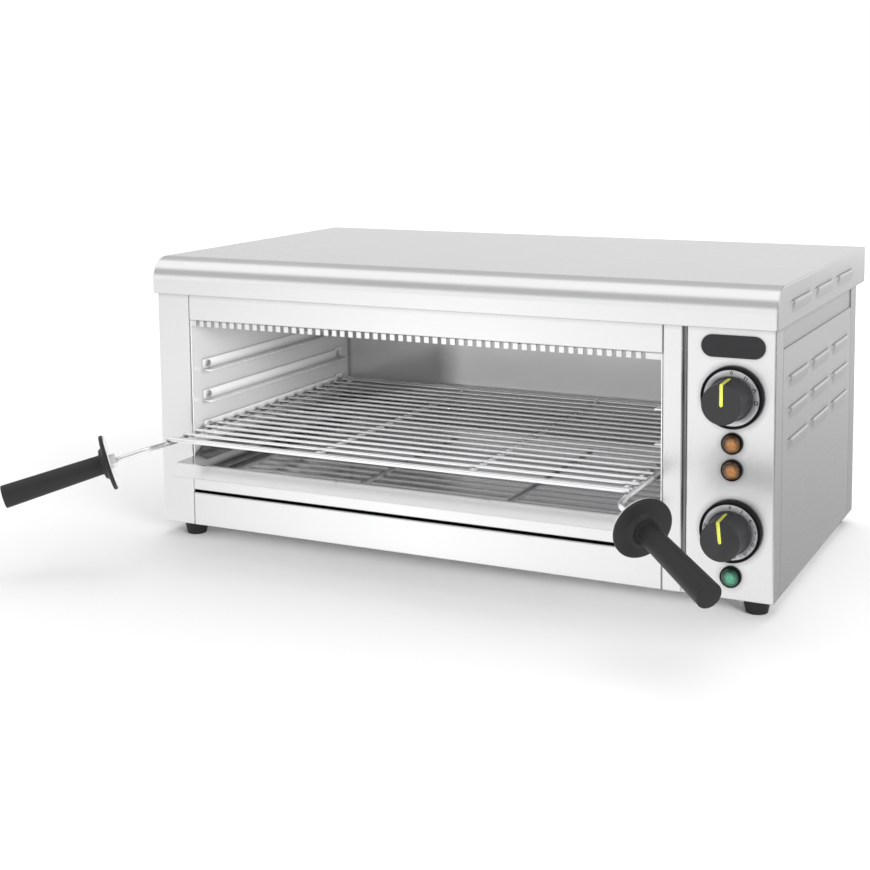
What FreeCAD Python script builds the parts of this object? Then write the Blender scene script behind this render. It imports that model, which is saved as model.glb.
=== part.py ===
import FreeCAD, Part
import math
import os
import re

import Sketcher

# Salamander grill: a sheet-metal casing with an open cooking cavity, a wire rack on
# angle rails, a drip tray below it and a control panel on the right.
# Origin: on the surface that the feet stand on, under the middle of the top cover.
# +X runs to the right, +Y to the back, +Z up. Millimetres and degrees.

# Driving sizes
SIZES = {
    # Top cover
    "cover_width": 610.0,
    "cover_depth": 345.0,
    "cover_height": 34.5,
    "cover_nose_radius": 21.0,
    "cover_edge_radius": 1.5,
    "cover_side_overhang": 2.0,
    "cover_front_overhang": 4.5,
    # Casing
    "sheet_thickness": 1.0,
    "bend_radius": 1.6,
    "body_depth": 312.0,
    "body_height": 225.5,
    "front_tuck": 16.0,
    "seat_gap": 0.3,
    "slide_gap": 0.3,
    "seam_gap": 0.3,
    "left_column_width": 36.7,
    "right_column_width": 17.3,
    "panel_seam": 3.5,
    "control_panel_width": 74.3,
    "front_return_depth": 22.0,
    "back_return_depth": 25.0,
    "column_return_depth": 18.0,
    "panel_return_depth": 12.0,
    "side_panel_drop": 19.0,
    "cover_flange_width": 12.0,
    "base_rim_height": 10.0,
    "kick_panel_height": 32.0,
    "kick_panel_gap": 2.4,
    # Cavity
    "floor_level": 68.0,
    "cavity_back_inset": 12.5,
    "fascia_drop": 25.0,
    "fascia_return": 10.0,
    "guard_lip": 5.6,
    "guard_pitch": 8.62,
    "guard_slot": 3.7,
    "guard_end_margin": 6.0,
    "guard_bridge": 14.0,
    "reflector_height": 28.0,
    "reflector_skirt": 8.0,
    "blanket_thickness": 14.0,
    "blanket_margin": 6.0,
    # Heating elements
    "element_diameter": 7.0,
    "element_rise": 13.0,
    "element_front_inset": 30.0,
    "element_back_inset": 30.5,
    "element_end_inset": 30.0,
    "element_tail": 16.0,
    "element_clearance": 0.3,
    "bracket_thickness": 2.0,
    "bracket_inset": 110.0,
    "collar_radius": 6.5,
    "collar_length": 5.0,
    "terminal_radius": 2.0,
    "terminal_length": 9.0,
    # Rack rails
    "rail_height": 10.5,
    "rail_ledge": 11.0,
    "rail_front_inset": 16.6,
    "rail_length": 265.0,
    "rail_pitch": 30.3,
    "lowest_rail": 88.6,
    "rail_tab": 2.5,
    "rail_tab_length": 14.0,
    "rail_screw_inset": 8.0,
    "rail_screw_rise": 6.0,
    # Wire rack
    "rod_diameter": 5.0,
    "bearer_diameter": 4.0,
    "wire_diameter": 3.0,
    "weld_sink": 0.3,
    "rack_side_gap": 9.8,
    "rack_wire_overhang": 1.0,
    "rack_inner_offset": 9.0,
    "rack_bearer_spacing": 154.0,
    "rack_front_reach": 53.0,
    "rack_depth": 328.5,
    "rack_first_wire": 6.6,
    "rack_wire_pitch": 18.6,
    "rack_rod_overrun": 3.0,
    # Rack handles
    "handle_extension": 28.0,
    "handle_splay": 3.4,
    "handle_out_angle": 50.0,
    "handle_drop_angle": 15.3,
    "handle_bend_radius": 10.0,
    "shield_distance": 37.0,
    "shield_radius": 25.5,
    "shield_dish": 2.6,
    "shield_thickness": 1.2,
    "flange_thickness": 3.0,
    "boss_radius": 12.5,
    "boss_length": 6.0,
    "grip_length": 95.0,
    "grip_root_radius": 9.0,
    "grip_end_radius": 10.5,
    "grip_edge": 1.2,
    "spigot_depth": 30.0,
    "spigot_clearance": 0.1,
    "nut_radius": 6.4,
    "nut_length": 7.0,
    # Drip tray
    "tray_side_gap": 2.8,
    "tray_back_gap": 3.5,
    "tray_reach": 30.5,
    "tray_lip_run": 9.0,
    "tray_lip_drop": 11.5,
    "tray_rim": 8.0,
    "tray_rim_slope": 15.0,
    # Louvres
    "louvre_length": 69.5,
    "louvre_height": 9.0,
    "louvre_depth": 2.2,
    "louvre_crest": 0.8,
    "louvre_slit": 0.3,
    "louvre_end_slope": 4.0,
    "louvre_front_inset": 40.0,
    "louvre_back_inset": 12.7,
    "louvre_row_pitch": 26.7,
    "louvre_row_drop": 44.5,
    "cover_louvre_front_inset": 42.5,
    "cover_louvre_back_inset": 61.0,
    "cover_louvre_drop": 16.0,
    # Controls
    "control_offset": 35.5,
    "power_knob_height": 168.8,
    "timer_knob_height": 57.5,
    "upper_lamp_height": 130.5,
    "lower_lamp_height": 108.4,
    "ready_lamp_height": 19.0,
    "dial_radius": 25.6,
    "dial_thickness": 5.0,
    "dial_rim": 2.0,
    "dial_recess": 0.6,
    "knob_gap": 0.5,
    "knob_flange_radius": 18.4,
    "knob_flange_thickness": 4.0,
    "knob_root_radius": 17.3,
    "knob_face_radius": 16.4,
    "knob_height": 28.5,
    "knob_edge": 0.5,
    "pointer_width": 3.8,
    "pointer_depth": 1.0,
    "shaft_radius": 3.0,
    "shaft_clearance": 0.08,
    "shaft_in_knob": 18.0,
    "shaft_in_switch": 14.0,
    "bushing_radius": 5.0,
    "bushing_clearance": 0.3,
    "switch_width": 38.0,
    "switch_depth": 26.0,
    "timer_width": 44.0,
    "timer_depth": 34.0,
    "timer_rest_angle": 6.0,
    "lamp_radius": 8.8,
    "lamp_height": 4.5,
    "lens_radius": 6.6,
    "lens_dome": 3.6,
    "lens_clearance": 0.1,
    "lamp_barrel_radius": 5.9,
    "lamp_barrel_length": 24.0,
    "lamp_hole_clearance": 0.2,
    "badge_length": 53.0,
    "badge_height": 18.3,
    "badge_thickness": 1.6,
    "badge_level": 210.3,
    # Feet and fasteners
    "foot_height": 12.0,
    "foot_top_radius": 11.5,
    "foot_tip_radius": 9.2,
    "foot_left_inset": 29.5,
    "foot_right_inset": 16.7,
    "foot_end_inset": 13.0,
    "foot_screw_radius": 2.5,
    "foot_screw_head": 4.5,
    "foot_screw_sink": 5.0,
    "foot_screw_length": 14.0,
    "screw_radius": 1.5,
    "screw_head_radius": 3.0,
    "screw_head_height": 1.6,
    "screw_clearance": 0.15,
    "back_screw_inset": 9.0,
    # Supply entry
    "gland_inset": 42.0,
    "gland_level": 34.0,
    "gland_thread_radius": 8.0,
    "gland_bore_radius": 4.2,
    "gland_hex_radius": 12.0,
    "gland_hex_length": 6.0,
    "gland_cap_radius": 10.5,
    "gland_cap_length": 15.0,
    "gland_nut_length": 5.0,
    "gland_clearance": 0.2,
    "block_length": 56.0,
    "block_depth": 20.0,
    "block_height": 17.0,
    "block_inset": 44.0,
    "vent_length": 34.0,
    "vent_width": 4.0,
    "vent_pitch": 11.0,
    "vent_level": 150.0,
}

# Places worked out from the driving sizes
PLACES = {
    "cover_left": "-cover_width / 2",
    "cover_right": "cover_width / 2",
    "cover_front": "-cover_depth / 2",
    "cover_back": "cover_depth / 2",
    "body_bottom": "foot_height",
    "cover_bottom": "body_bottom + body_height",
    "cover_top": "cover_bottom + cover_height",
    "body_left": "cover_left + cover_side_overhang",
    "body_right": "cover_right - cover_side_overhang",
    "body_front": "cover_front + cover_front_overhang",
    "body_back": "body_front + body_depth",
    "skin_front": "body_front + sheet_thickness",
    "skin_back": "body_back - sheet_thickness",
    "skin_left": "body_left + sheet_thickness",
    "skin_right": "body_right - sheet_thickness",
    "bend_inside": "bend_radius - sheet_thickness",
    "frame_left": "skin_left + sheet_thickness",
    "frame_right": "skin_right - sheet_thickness",
    "wall_top": "cover_top - sheet_thickness - seat_gap",
    "front_top": "cover_bottom + front_tuck",
    "column_left": "body_left + left_column_width",
    "opening_left": "column_left + seam_gap",
    "panel_left": "body_right - control_panel_width",
    "column_right_edge": "panel_left - panel_seam",
    "column_right": "column_right_edge - right_column_width",
    "opening_right": "column_right - seam_gap",
    "cavity_left": "opening_left + sheet_thickness",
    "cavity_right": "opening_right - sheet_thickness",
    "cavity_middle": "(cavity_left + cavity_right) / 2",
    "cavity_back": "body_back - cavity_back_inset",
    "floor_top": "body_bottom + floor_level",
    "kick_top": "body_bottom + kick_panel_height",
    "sill_bottom": "kick_top + kick_panel_gap",
    "fascia_bottom": "cover_bottom - fascia_drop",
    "guard_bottom": "fascia_bottom - guard_lip",
    "guard_under": "fascia_bottom - sheet_thickness",
    "reflector_level": "fascia_bottom + reflector_height",
    "side_panel_top": "cover_bottom - side_panel_drop",
    "side_panel_front": "body_front + front_return_depth + seat_gap",
    "side_panel_back": "body_back - back_return_depth - seat_gap",
    "element_level": "fascia_bottom + element_rise",
    "element_left": "cavity_left + element_end_inset",
    "element_first": "skin_front + element_front_inset",
    "element_last": "cavity_back - element_back_inset",
    "element_pitch": "(element_last - element_first) / 7",
    "rail_front": "body_front + rail_front_inset",
    "rail_back": "rail_front + rail_length",
    "ledge_under": "body_bottom + lowest_rail",
    "ledge_top": "ledge_under + sheet_thickness",
    "rod_level": "ledge_top + slide_gap + rod_diameter / 2",
    "bearer_level": "rod_level + (rod_diameter - bearer_diameter) / 2",
    "wire_level": "rod_level + rod_diameter / 2 + wire_diameter / 2 - weld_sink",
    "end_rod_level": "rod_level + rod_diameter / 2 + bearer_diameter / 2 - weld_sink",
    "rack_front": "body_front - rack_front_reach",
    "rack_back": "rack_front + rack_depth",
    "rod_offset": "(cavity_right - cavity_left) / 2 - rack_side_gap",
    "tray_left": "cavity_left + tray_side_gap",
    "tray_right": "cavity_right - tray_side_gap",
    "tray_back": "cavity_back - tray_back_gap",
    "tray_front": "body_front - tray_reach",
    "tray_under": "floor_top + slide_gap",
    "tray_top": "tray_under + sheet_thickness",
    "control_middle": "body_right - control_offset",
    "dial_front": "body_front - dial_thickness",
    "knob_back": "dial_front - knob_gap",
    "switch_face": "skin_front",
    "louvre_first": "body_front + louvre_front_inset",
    "louvre_last": "side_panel_back - louvre_back_inset - louvre_length",
    "louvre_pitch": "(louvre_last - louvre_first) / 2",
    "cover_louvre_first": "cover_front + cover_louvre_front_inset",
    "cover_louvre_last": "cover_back - cover_louvre_back_inset - louvre_length",
    "cover_louvre_pitch": "(cover_louvre_last - cover_louvre_first) / 2",
    "louvre_top": "cover_bottom - louvre_row_drop",
    "foot_left": "body_left + foot_left_inset",
    "foot_right": "body_right - foot_right_inset",
    "foot_front": "body_front + foot_end_inset",
    "foot_back": "body_back - foot_end_inset",
    "gland_middle": "body_right - gland_inset",
    "gland_height": "body_bottom + gland_level",
}

doc = FreeCAD.newDocument("salamander_grill")
sizes = doc.addObject("Spreadsheet::Sheet", "sizes")
for line, (word, amount) in enumerate(SIZES.items(), start=1):
    sizes.set("A%d" % line, word)
    sizes.set("B%d" % line, str(amount))
    sizes.setAlias("B%d" % line, word)
doc.recompute()


def formula(text, own=False):
    """The text with each size and place written the way the document's expressions name it."""
    def named(match):
        word = match.group(0)
        if word in SIZES:
            return "sizes." + word
        if word in PLACES and not own:
            return "places." + word
        return word
    return re.sub(r"[a-z][a-z_]*", named, text)


places = doc.addObject("App::VarSet", "places")
for word, text in PLACES.items():
    places.addProperty("App::PropertyFloat", word, "Places")
    places.setExpression(word, formula(text, own=True))
doc.recompute()


def size(word):
    """The present value of a driving size."""
    return float(sizes.get(word))


def place(word):
    """The present value of a place."""
    return float(getattr(places, word))


vector = FreeCAD.Vector
ORIGIN_POINT = (-1, 1)
nodes = []


def keep(thing, label):
    """Names a finished piece and adds it to the pieces that are written out."""
    thing.Label = label
    nodes.append(thing)
    return thing


# Sketches and features

def origin_plane(body, role):
    """One of the body's own origin planes or axes, found by its role."""
    for feature in body.Origin.OriginFeatures:
        if feature.Role == role:
            return feature
    raise ValueError("no origin feature " + role)


def sketch_on(body, role, level):
    """An empty sketch on an origin plane, moved along the plane's normal by a formula."""
    sketch = body.newObject("Sketcher::SketchObject", "sketch")
    sketch.AttachmentSupport = [(origin_plane(body, role), "")]
    sketch.MapMode = "FlatFace"
    sketch.setExpression("AttachmentOffset.Base.z", formula(level))
    return sketch


def pin_point(sketch, shape, end, across, along):
    """Ties one end of a line to the sketch's origin by two formulas."""
    for kind, text in (("DistanceX", across), ("DistanceY", along)):
        number = sketch.addConstraint(
            Sketcher.Constraint(kind, ORIGIN_POINT[0], ORIGIN_POINT[1], shape, end, 1.0))
        sketch.setExpression("Constraints[%d]" % number, formula(text))


def guide(text):
    """A first number for a corner, so that the sketch starts near its solved form."""
    ruler.setExpression("reading", formula(text))
    ruler.recompute()
    return ruler.reading


ruler = doc.addObject("App::VarSet", "ruler")
ruler.addProperty("App::PropertyFloat", "reading", "Ruler")


def outline(body, role, corners, level="0"):
    """A closed outline of straight lines whose corners are pairs of formulas."""
    sketch = sketch_on(body, role, level)
    points = [vector(guide(across), guide(along), 0) for across, along in corners]
    count = len(points)
    for index in range(count):
        sketch.addGeometry(Part.LineSegment(points[index], points[(index + 1) % count]), False)
    for index in range(count):
        sketch.addConstraint(Sketcher.Constraint("Coincident", index, 2, (index + 1) % count, 1))
    for index, (across, along) in enumerate(corners):
        pin_point(sketch, index, 1, across, along)
    return sketch


def rectangle(left, right, low, high):
    """The four corners of a rectangle."""
    return [(left, low), (right, low), (right, high), (left, high)]


def round_hole(body, role, across, along, radius, level="0"):
    """A circle in a sketch of its own."""
    sketch = sketch_on(body, role, level)
    middle = vector(guide(across), guide(along), 0)
    circle = Part.Circle(middle, vector(0, 0, 1), guide(radius))
    sketch.addGeometry(circle, False)
    number = sketch.addConstraint(Sketcher.Constraint("Radius", 0, 1.0))
    sketch.setExpression("Constraints[%d]" % number, formula(radius))
    pin_point(sketch, 0, 3, across, along)
    return sketch


def pad(body, sketch, length, backwards=False):
    """Adds the outline's solid, along the sketch's normal unless it goes backwards."""
    feature = body.newObject("PartDesign::Pad", "pad")
    feature.Profile = sketch
    feature.setExpression("Length", formula(length))
    feature.Reversed = backwards
    sketch.Visibility = False
    doc.recompute()
    return feature


def pocket(body, sketch, length, along_normal=False):
    """Takes the outline's solid away, and fails when it takes nothing."""
    before = body.Shape.Volume
    feature = body.newObject("PartDesign::Pocket", "pocket")
    feature.Profile = sketch
    feature.setExpression("Length", formula(length))
    feature.Reversed = along_normal
    doc.recompute()
    if feature.Shape.Volume > before - 1e-3:
        raise ValueError("a pocket in %s takes nothing away" % body.Name)
    return feature


def row(body, originals, role, length, count):
    """Repeats features along an origin axis, count times over the length."""
    feature = body.newObject("PartDesign::LinearPattern", "row")
    feature.Originals = originals
    feature.Direction = (origin_plane(body, role), [""])
    feature.setExpression("Length", formula(length))
    feature.Occurrences = count
    body.Tip = feature
    doc.recompute()
    return feature


def edges_at(shape, test):
    """Names of the edges whose end points all pass the test."""
    return ["Edge%d" % (number + 1) for number, edge in enumerate(shape.Edges)
            if all(test(point.Point) for point in edge.Vertexes)]


def soften(body, test, radius):
    """Rounds the edges of the body's last feature whose end points pass the test."""
    names = edges_at(body.Shape, test)
    if not names:
        raise ValueError("no edge to round on " + body.Name)
    base = body.Tip
    feature = body.newObject("PartDesign::Fillet", "soften")
    feature.Base = (base, names)
    feature.setExpression("Radius", formula(radius))
    doc.recompute()
    return feature


def near(first, second):
    """Whether two coordinates are the same point of the model."""
    return abs(first - second) < 1e-4


def new_body(name):
    """An empty body."""
    return doc.addObject("PartDesign::Body", name)


def plain_box(name, low, high):
    """A box between two corners that are given as formulas."""
    box = doc.addObject("Part::Box", name)
    for axis, length, start, end in zip("xyz", ("Length", "Width", "Height"), low, high):
        box.setExpression("Placement.Base." + axis, formula(start))
        box.setExpression(length, formula("(%s) - (%s)" % (end, start)))
    return box


AXIS_TURNS = {
    "+X": FreeCAD.Rotation(vector(0, 1, 0), 90),
    "-X": FreeCAD.Rotation(vector(0, 1, 0), -90),
    "+Y": FreeCAD.Rotation(vector(1, 0, 0), -90),
    "-Y": FreeCAD.Rotation(vector(1, 0, 0), 90),
    "+Z": FreeCAD.Rotation(),
    "-Z": FreeCAD.Rotation(vector(1, 0, 0), 180),
}


def set_base(thing, base):
    """Puts the thing's own origin at a place given by three formulas."""
    for axis, text in zip("xyz", base):
        thing.setExpression("Placement.Base." + axis, formula(text))


def bar(name, base, way, radius, length):
    """A cylinder from a base point along one of the main directions."""
    cylinder = doc.addObject("Part::Cylinder", name)
    cylinder.Placement = FreeCAD.Placement(vector(0, 0, 0), AXIS_TURNS[way])
    set_base(cylinder, base)
    cylinder.setExpression("Radius", formula(radius))
    cylinder.setExpression("Height", formula(length))
    return cylinder


def cut(name, base, tool):
    """One solid less another."""
    result = doc.addObject("Part::Cut", name)
    result.Base = base
    result.Tool = tool
    return result


def fuse(name, parts):
    """Several solids as one."""
    result = doc.addObject("Part::MultiFuse", name)
    result.Shapes = parts
    return result


def group(name, parts):
    """Several separate solids kept side by side."""
    result = doc.addObject("Part::Compound", name)
    result.Links = parts
    return result


def turned(name, profile):
    """A body turned about its own Z axis; the profile's points are radius and height."""
    body = new_body(name)
    sketch = outline(body, "XZ_Plane", profile)
    feature = body.newObject("PartDesign::Revolution", "turning")
    feature.Profile = sketch
    feature.ReferenceAxis = (sketch, ["V_Axis"])
    feature.Angle = 360
    doc.recompute()
    return body


def facing_front(thing, base):
    """Lays a turned piece down so that its height runs to the front, from a base place."""
    thing.Placement = FreeCAD.Placement(vector(0, 0, 0), AXIS_TURNS["-Y"])
    set_base(thing, base)
    return thing


# Top cover

def louvre(name, plane, first, top, inset, open_gap):
    """A scoop on the right side: a ramp that stands furthest out at its open upper edge."""
    ramp = doc.addObject("Part::Wedge", name)
    ramp.Placement = FreeCAD.Placement(vector(0, 0, 0), FreeCAD.Rotation(vector(0, 0, 1), -90))
    set_base(ramp, (plane, "%s + louvre_length" % first, "%s - louvre_height" % top))
    bounds = {
        "Xmin": inset,
        "Xmax": "louvre_length - (%s)" % inset,
        "Ymin": "-sheet_thickness" if open_gap else "-sheet_thickness / 2",
        "Ymax": "louvre_depth - (%s)" % inset,
        "Zmin": inset,
        "Zmax": "louvre_height + (%s)" % open_gap,
        "X2min": "louvre_end_slope + (%s)" % inset,
        "X2max": "louvre_length - louvre_end_slope - (%s)" % inset,
        "Z2min": "louvre_height - louvre_crest",
        "Z2max": "louvre_height + (%s)" % open_gap,
    }
    for word, text in bounds.items():
        ramp.setExpression(word, formula(text))
    return ramp


def with_louvres(label, wall, plane, spots):
    """A right-hand wall with a louvre at each spot of first Y and top Z."""
    hoods = []
    mouths = []
    for first, top in spots:
        hoods.append(louvre("hood", plane, first, top, "0", "0"))
        mouths.append(louvre("mouth", plane, first, top, "sheet_thickness", "louvre_slit"))
    solid = fuse("hooded_wall", [wall] + hoods)
    return keep(cut(label, solid, group("mouths", mouths)), label)


def cover_block(name, inset, top_drop, nose):
    """The cover's outer or inner form, with its round nose along the front."""
    body = new_body(name)
    left = "cover_left + (%s)" % inset
    right = "cover_right - (%s)" % inset
    front = "cover_front + (%s)" % inset
    back = "cover_back - (%s)" % inset
    start = "cover_bottom - (%s)" % inset
    height = "cover_height + (%s) - (%s)" % (inset, top_drop)
    pad(body, outline(body, "XY_Plane", rectangle(left, right, front, back), start), height)
    top = guide(start) + guide(height)
    front_line = guide(front)
    soften(body, lambda p: near(p.z, top) and near(p.y, front_line), nose)
    return body


def top_cover():
    outer = cover_block("cover_outer", "0", "0", "cover_nose_radius")
    high = place("cover_top")
    nose_end = place("cover_front") + size("cover_nose_radius") - 0.01
    soften(outer, lambda p: near(p.z, high) and p.y > nose_end, "cover_edge_radius")
    inner = cover_block("cover_inner", "sheet_thickness", "sheet_thickness",
                        "cover_nose_radius - sheet_thickness")
    shell = cut("cover_shell", outer, inner)
    spots = []
    for number in range(3):
        first = "cover_louvre_first + %d * cover_louvre_pitch" % number
        spots.append((first, "cover_top - cover_louvre_drop"))
    with_louvres("top_cover", shell, "cover_right", spots)


# Outer casing

def folded_upright(label, corners, bottom, top, bends):
    """A sheet folded about upright bends: its plan outline raised from bottom to top."""
    body = new_body(label)
    pad(body, outline(body, "XY_Plane", corners, bottom), "(%s) - (%s)" % (top, bottom))
    for across, along, radius in bends:
        x = guide(across)
        y = guide(along)
        soften(body, lambda p: near(p.x, x) and near(p.y, y), radius)
    return body


def folded_across(label, corners, left, right, bends):
    """A sheet folded about level bends: its side outline carried from left to right."""
    body = new_body(label)
    pad(body, outline(body, "YZ_Plane", corners, left), "(%s) - (%s)" % (right, left))
    for along, up, radius in bends:
        y = guide(along)
        z = guide(up)
        soften(body, lambda p: near(p.y, y) and near(p.z, z), radius)
    return body


def channel(outer_left, outer_right, left_depth, right_depth):
    """Plan outline of a front sheet with a return at each end, open to the back."""
    return [
        (outer_left, "body_front + (%s)" % left_depth),
        (outer_left, "body_front"),
        (outer_right, "body_front"),
        (outer_right, "body_front + (%s)" % right_depth),
        ("%s - sheet_thickness" % outer_right, "body_front + (%s)" % right_depth),
        ("%s - sheet_thickness" % outer_right, "skin_front"),
        ("%s + sheet_thickness" % outer_left, "skin_front"),
        ("%s + sheet_thickness" % outer_left, "body_front + (%s)" % left_depth),
    ]


def channel_bends(outer_left, outer_right):
    """The four upright bend lines of a channel, outer and inner."""
    return [
        (outer_left, "body_front", "bend_radius"),
        (outer_right, "body_front", "bend_radius"),
        ("%s + sheet_thickness" % outer_left, "skin_front", "bend_inside"),
        ("%s - sheet_thickness" % outer_right, "skin_front", "bend_inside"),
    ]


def relieve(body, left, right, depth):
    """Cuts a return away at its foot, where the base's folded rim passes behind the front."""
    lines = rectangle(left, right, "skin_front", "body_front + %s + seat_gap" % depth)
    pocket(body, outline(body, "XY_Plane", lines, "body_bottom - seat_gap"),
           "base_rim_height + sheet_thickness + 2 * seat_gap", along_normal=True)


def front_columns():
    left = folded_upright(
        "left_column",
        channel("body_left", "column_left", "front_return_depth", "column_return_depth"),
        "body_bottom", "front_top", channel_bends("body_left", "column_left"))
    relieve(left, "skin_left", "column_left + seat_gap", "column_return_depth")
    keep(left, "left_column")
    right = folded_upright(
        "right_column",
        channel("column_right", "column_right_edge", "column_return_depth", "panel_return_depth"),
        "body_bottom", "front_top", channel_bends("column_right", "column_right_edge"))
    relieve(right, "column_right - seat_gap", "column_right_edge + seat_gap",
            "column_return_depth")
    keep(right, "right_column")


def control_height(word):
    """The level of a control that is measured up from the base."""
    return "body_bottom + " + word


LAMP_HEIGHTS = ("upper_lamp_height", "lower_lamp_height", "ready_lamp_height")
KNOB_HEIGHTS = ("power_knob_height", "timer_knob_height")


def control_panel():
    body = folded_upright(
        "control_panel",
        channel("panel_left", "body_right", "panel_return_depth", "front_return_depth"),
        "body_bottom", "front_top", channel_bends("panel_left", "body_right"))
    relieve(body, "panel_left - seat_gap", "skin_right", "panel_return_depth")
    for word in LAMP_HEIGHTS:
        hole = round_hole(body, "XZ_Plane", "control_middle", control_height(word),
                          "lamp_barrel_radius + lamp_hole_clearance", "-skin_front - seat_gap")
        pocket(body, hole, "5 * sheet_thickness", along_normal=True)
    for word in KNOB_HEIGHTS:
        hole = round_hole(body, "XZ_Plane", "control_middle", control_height(word),
                          "bushing_radius + bushing_clearance", "-skin_front - seat_gap")
        pocket(body, hole, "5 * sheet_thickness", along_normal=True)
    keep(body, "control_panel")


def side_walls():
    left = plain_box("left_side_panel", ("body_left", "side_panel_front", "body_bottom"),
                     ("skin_left", "side_panel_back", "side_panel_top"))
    keep(left, "left_side_panel")
    right = plain_box("right_side_sheet", ("skin_right", "side_panel_front", "body_bottom"),
                      ("body_right", "side_panel_back", "side_panel_top"))
    spots = []
    for line in range(3):
        for number in range(3):
            first = "louvre_first + %d * louvre_pitch" % number
            spots.append((first, "louvre_top - %d * louvre_row_pitch" % line))
    with_louvres("right_side_panel", right, "body_right", spots)


def frame_wall(label, outer, inner, sign):
    """An inner side wall with a flange along its top that carries the cover."""
    body = new_body(label)
    corners = [
        ("skin_front + bend_inside", "body_bottom"),
        ("skin_back - bend_inside", "body_bottom"),
        ("skin_back - bend_inside", "wall_top"),
        ("skin_front + cover_nose_radius", "wall_top"),
        ("skin_front + bend_inside", "front_top"),
    ]
    start = outer if sign == "+" else inner
    pad(body, outline(body, "YZ_Plane", corners, start), "sheet_thickness")
    edge = "%s %s cover_flange_width" % (inner, sign)
    lines = rectangle(inner, edge, "skin_front + 2 * cover_nose_radius",
                      "skin_back - cover_flange_width")
    pad(body, outline(body, "XY_Plane", lines, "wall_top - sheet_thickness"), "sheet_thickness")
    return body


def frame_walls():
    left = frame_wall("left_frame_wall", "skin_left", "frame_left", "+")
    keep(left, "left_frame_wall")
    right = frame_wall("right_frame_wall", "skin_right", "frame_right", "-")
    window = rectangle(
        "louvre_first", "louvre_last + louvre_length",
        "louvre_top - 2 * louvre_row_pitch - louvre_height", "louvre_top + sheet_thickness")
    pocket(right, outline(right, "YZ_Plane", window, "frame_right - sheet_thickness"),
           "3 * sheet_thickness", along_normal=True)
    keep(right, "right_frame_wall")


def back_screw_spots():
    """Places of the back panel's screws, as formulas of X and Z."""
    spots = []
    for across in ("body_left + back_screw_inset", "body_right - back_screw_inset"):
        for up in ("body_bottom + 2 * back_screw_inset",
                   "(body_bottom + cover_bottom) / 2",
                   "cover_bottom - 2 * back_screw_inset"):
            spots.append((across, up))
    return spots


def back_panel():
    corners = [
        ("body_left", "body_back - back_return_depth"),
        ("skin_left", "body_back - back_return_depth"),
        ("skin_left", "skin_back"),
        ("skin_right", "skin_back"),
        ("skin_right", "body_back - back_return_depth"),
        ("body_right", "body_back - back_return_depth"),
        ("body_right", "body_back"),
        ("body_left", "body_back"),
    ]
    bends = [
        ("body_left", "body_back", "bend_radius"),
        ("body_right", "body_back", "bend_radius"),
        ("skin_left", "skin_back", "bend_inside"),
        ("skin_right", "skin_back", "bend_inside"),
    ]
    body = folded_upright("back_panel", corners, "body_bottom", "wall_top", bends)
    hole = round_hole(body, "XZ_Plane", "gland_middle", "gland_height",
                      "gland_thread_radius + gland_clearance", "-body_back - seat_gap")
    pocket(body, hole, "5 * sheet_thickness", along_normal=True)
    slot = rectangle("gland_middle - vent_length / 2", "gland_middle + vent_length / 2",
                     "body_bottom + vent_level", "body_bottom + vent_level + vent_width")
    first = pocket(body, outline(body, "XZ_Plane", slot, "-body_back - seat_gap"),
                   "5 * sheet_thickness", along_normal=True)
    row(body, [first], "Z_Axis", "4 * vent_pitch", 5)
    keep(body, "back_panel")


def base_pan():
    body = new_body("base_pan")
    outer = rectangle("frame_left", "frame_right", "skin_front", "skin_back")
    pad(body, outline(body, "XY_Plane", outer, "body_bottom"),
        "base_rim_height + sheet_thickness")
    inner = rectangle("frame_left + sheet_thickness", "frame_right - sheet_thickness",
                      "skin_front + sheet_thickness", "skin_back - sheet_thickness")
    pocket(body, outline(body, "XY_Plane", inner, "body_bottom + sheet_thickness"),
           "base_rim_height + sheet_thickness", along_normal=True)
    for x in ("foot_left", "foot_right"):
        for y in ("foot_front", "foot_back"):
            hole = round_hole(body, "XY_Plane", x, y, "foot_screw_radius + screw_clearance",
                              "body_bottom - seat_gap")
            pocket(body, hole, "2 * sheet_thickness", along_normal=True)
    keep(body, "base_pan")


def lower_front_panel():
    corners = [
        ("body_front", "body_bottom"),
        ("skin_front", "body_bottom"),
        ("skin_front", "kick_top - sheet_thickness"),
        ("body_front + fascia_return", "kick_top - sheet_thickness"),
        ("body_front + fascia_return", "kick_top"),
        ("body_front", "kick_top"),
    ]
    bends = [
        ("body_front", "kick_top", "bend_radius"),
        ("skin_front", "kick_top - sheet_thickness", "bend_inside"),
    ]
    body = folded_across("lower_front_panel", corners, "opening_left", "opening_right", bends)
    keep(body, "lower_front_panel")


def front_fascia():
    corners = [
        ("body_front", "fascia_bottom"),
        ("body_front + fascia_return", "fascia_bottom"),
        ("body_front + fascia_return", "fascia_bottom + sheet_thickness"),
        ("skin_front", "fascia_bottom + sheet_thickness"),
        ("skin_front", "front_top"),
        ("body_front", "front_top"),
    ]
    bends = [
        ("body_front", "fascia_bottom", "bend_radius"),
        ("skin_front", "fascia_bottom + sheet_thickness", "bend_inside"),
    ]
    body = folded_across("front_fascia", corners, "opening_left", "opening_right", bends)
    for low, high in (("opening_left - seat_gap", "cavity_left"),
                      ("cavity_right", "opening_right + seat_gap")):
        lines = rectangle(low, high, "skin_front", "body_front + fascia_return + seat_gap")
        pocket(body, outline(body, "XY_Plane", lines, "fascia_bottom - seat_gap"),
               "bend_radius + sheet_thickness + seat_gap", along_normal=True)
    keep(body, "front_fascia")


# Cavity

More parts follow.
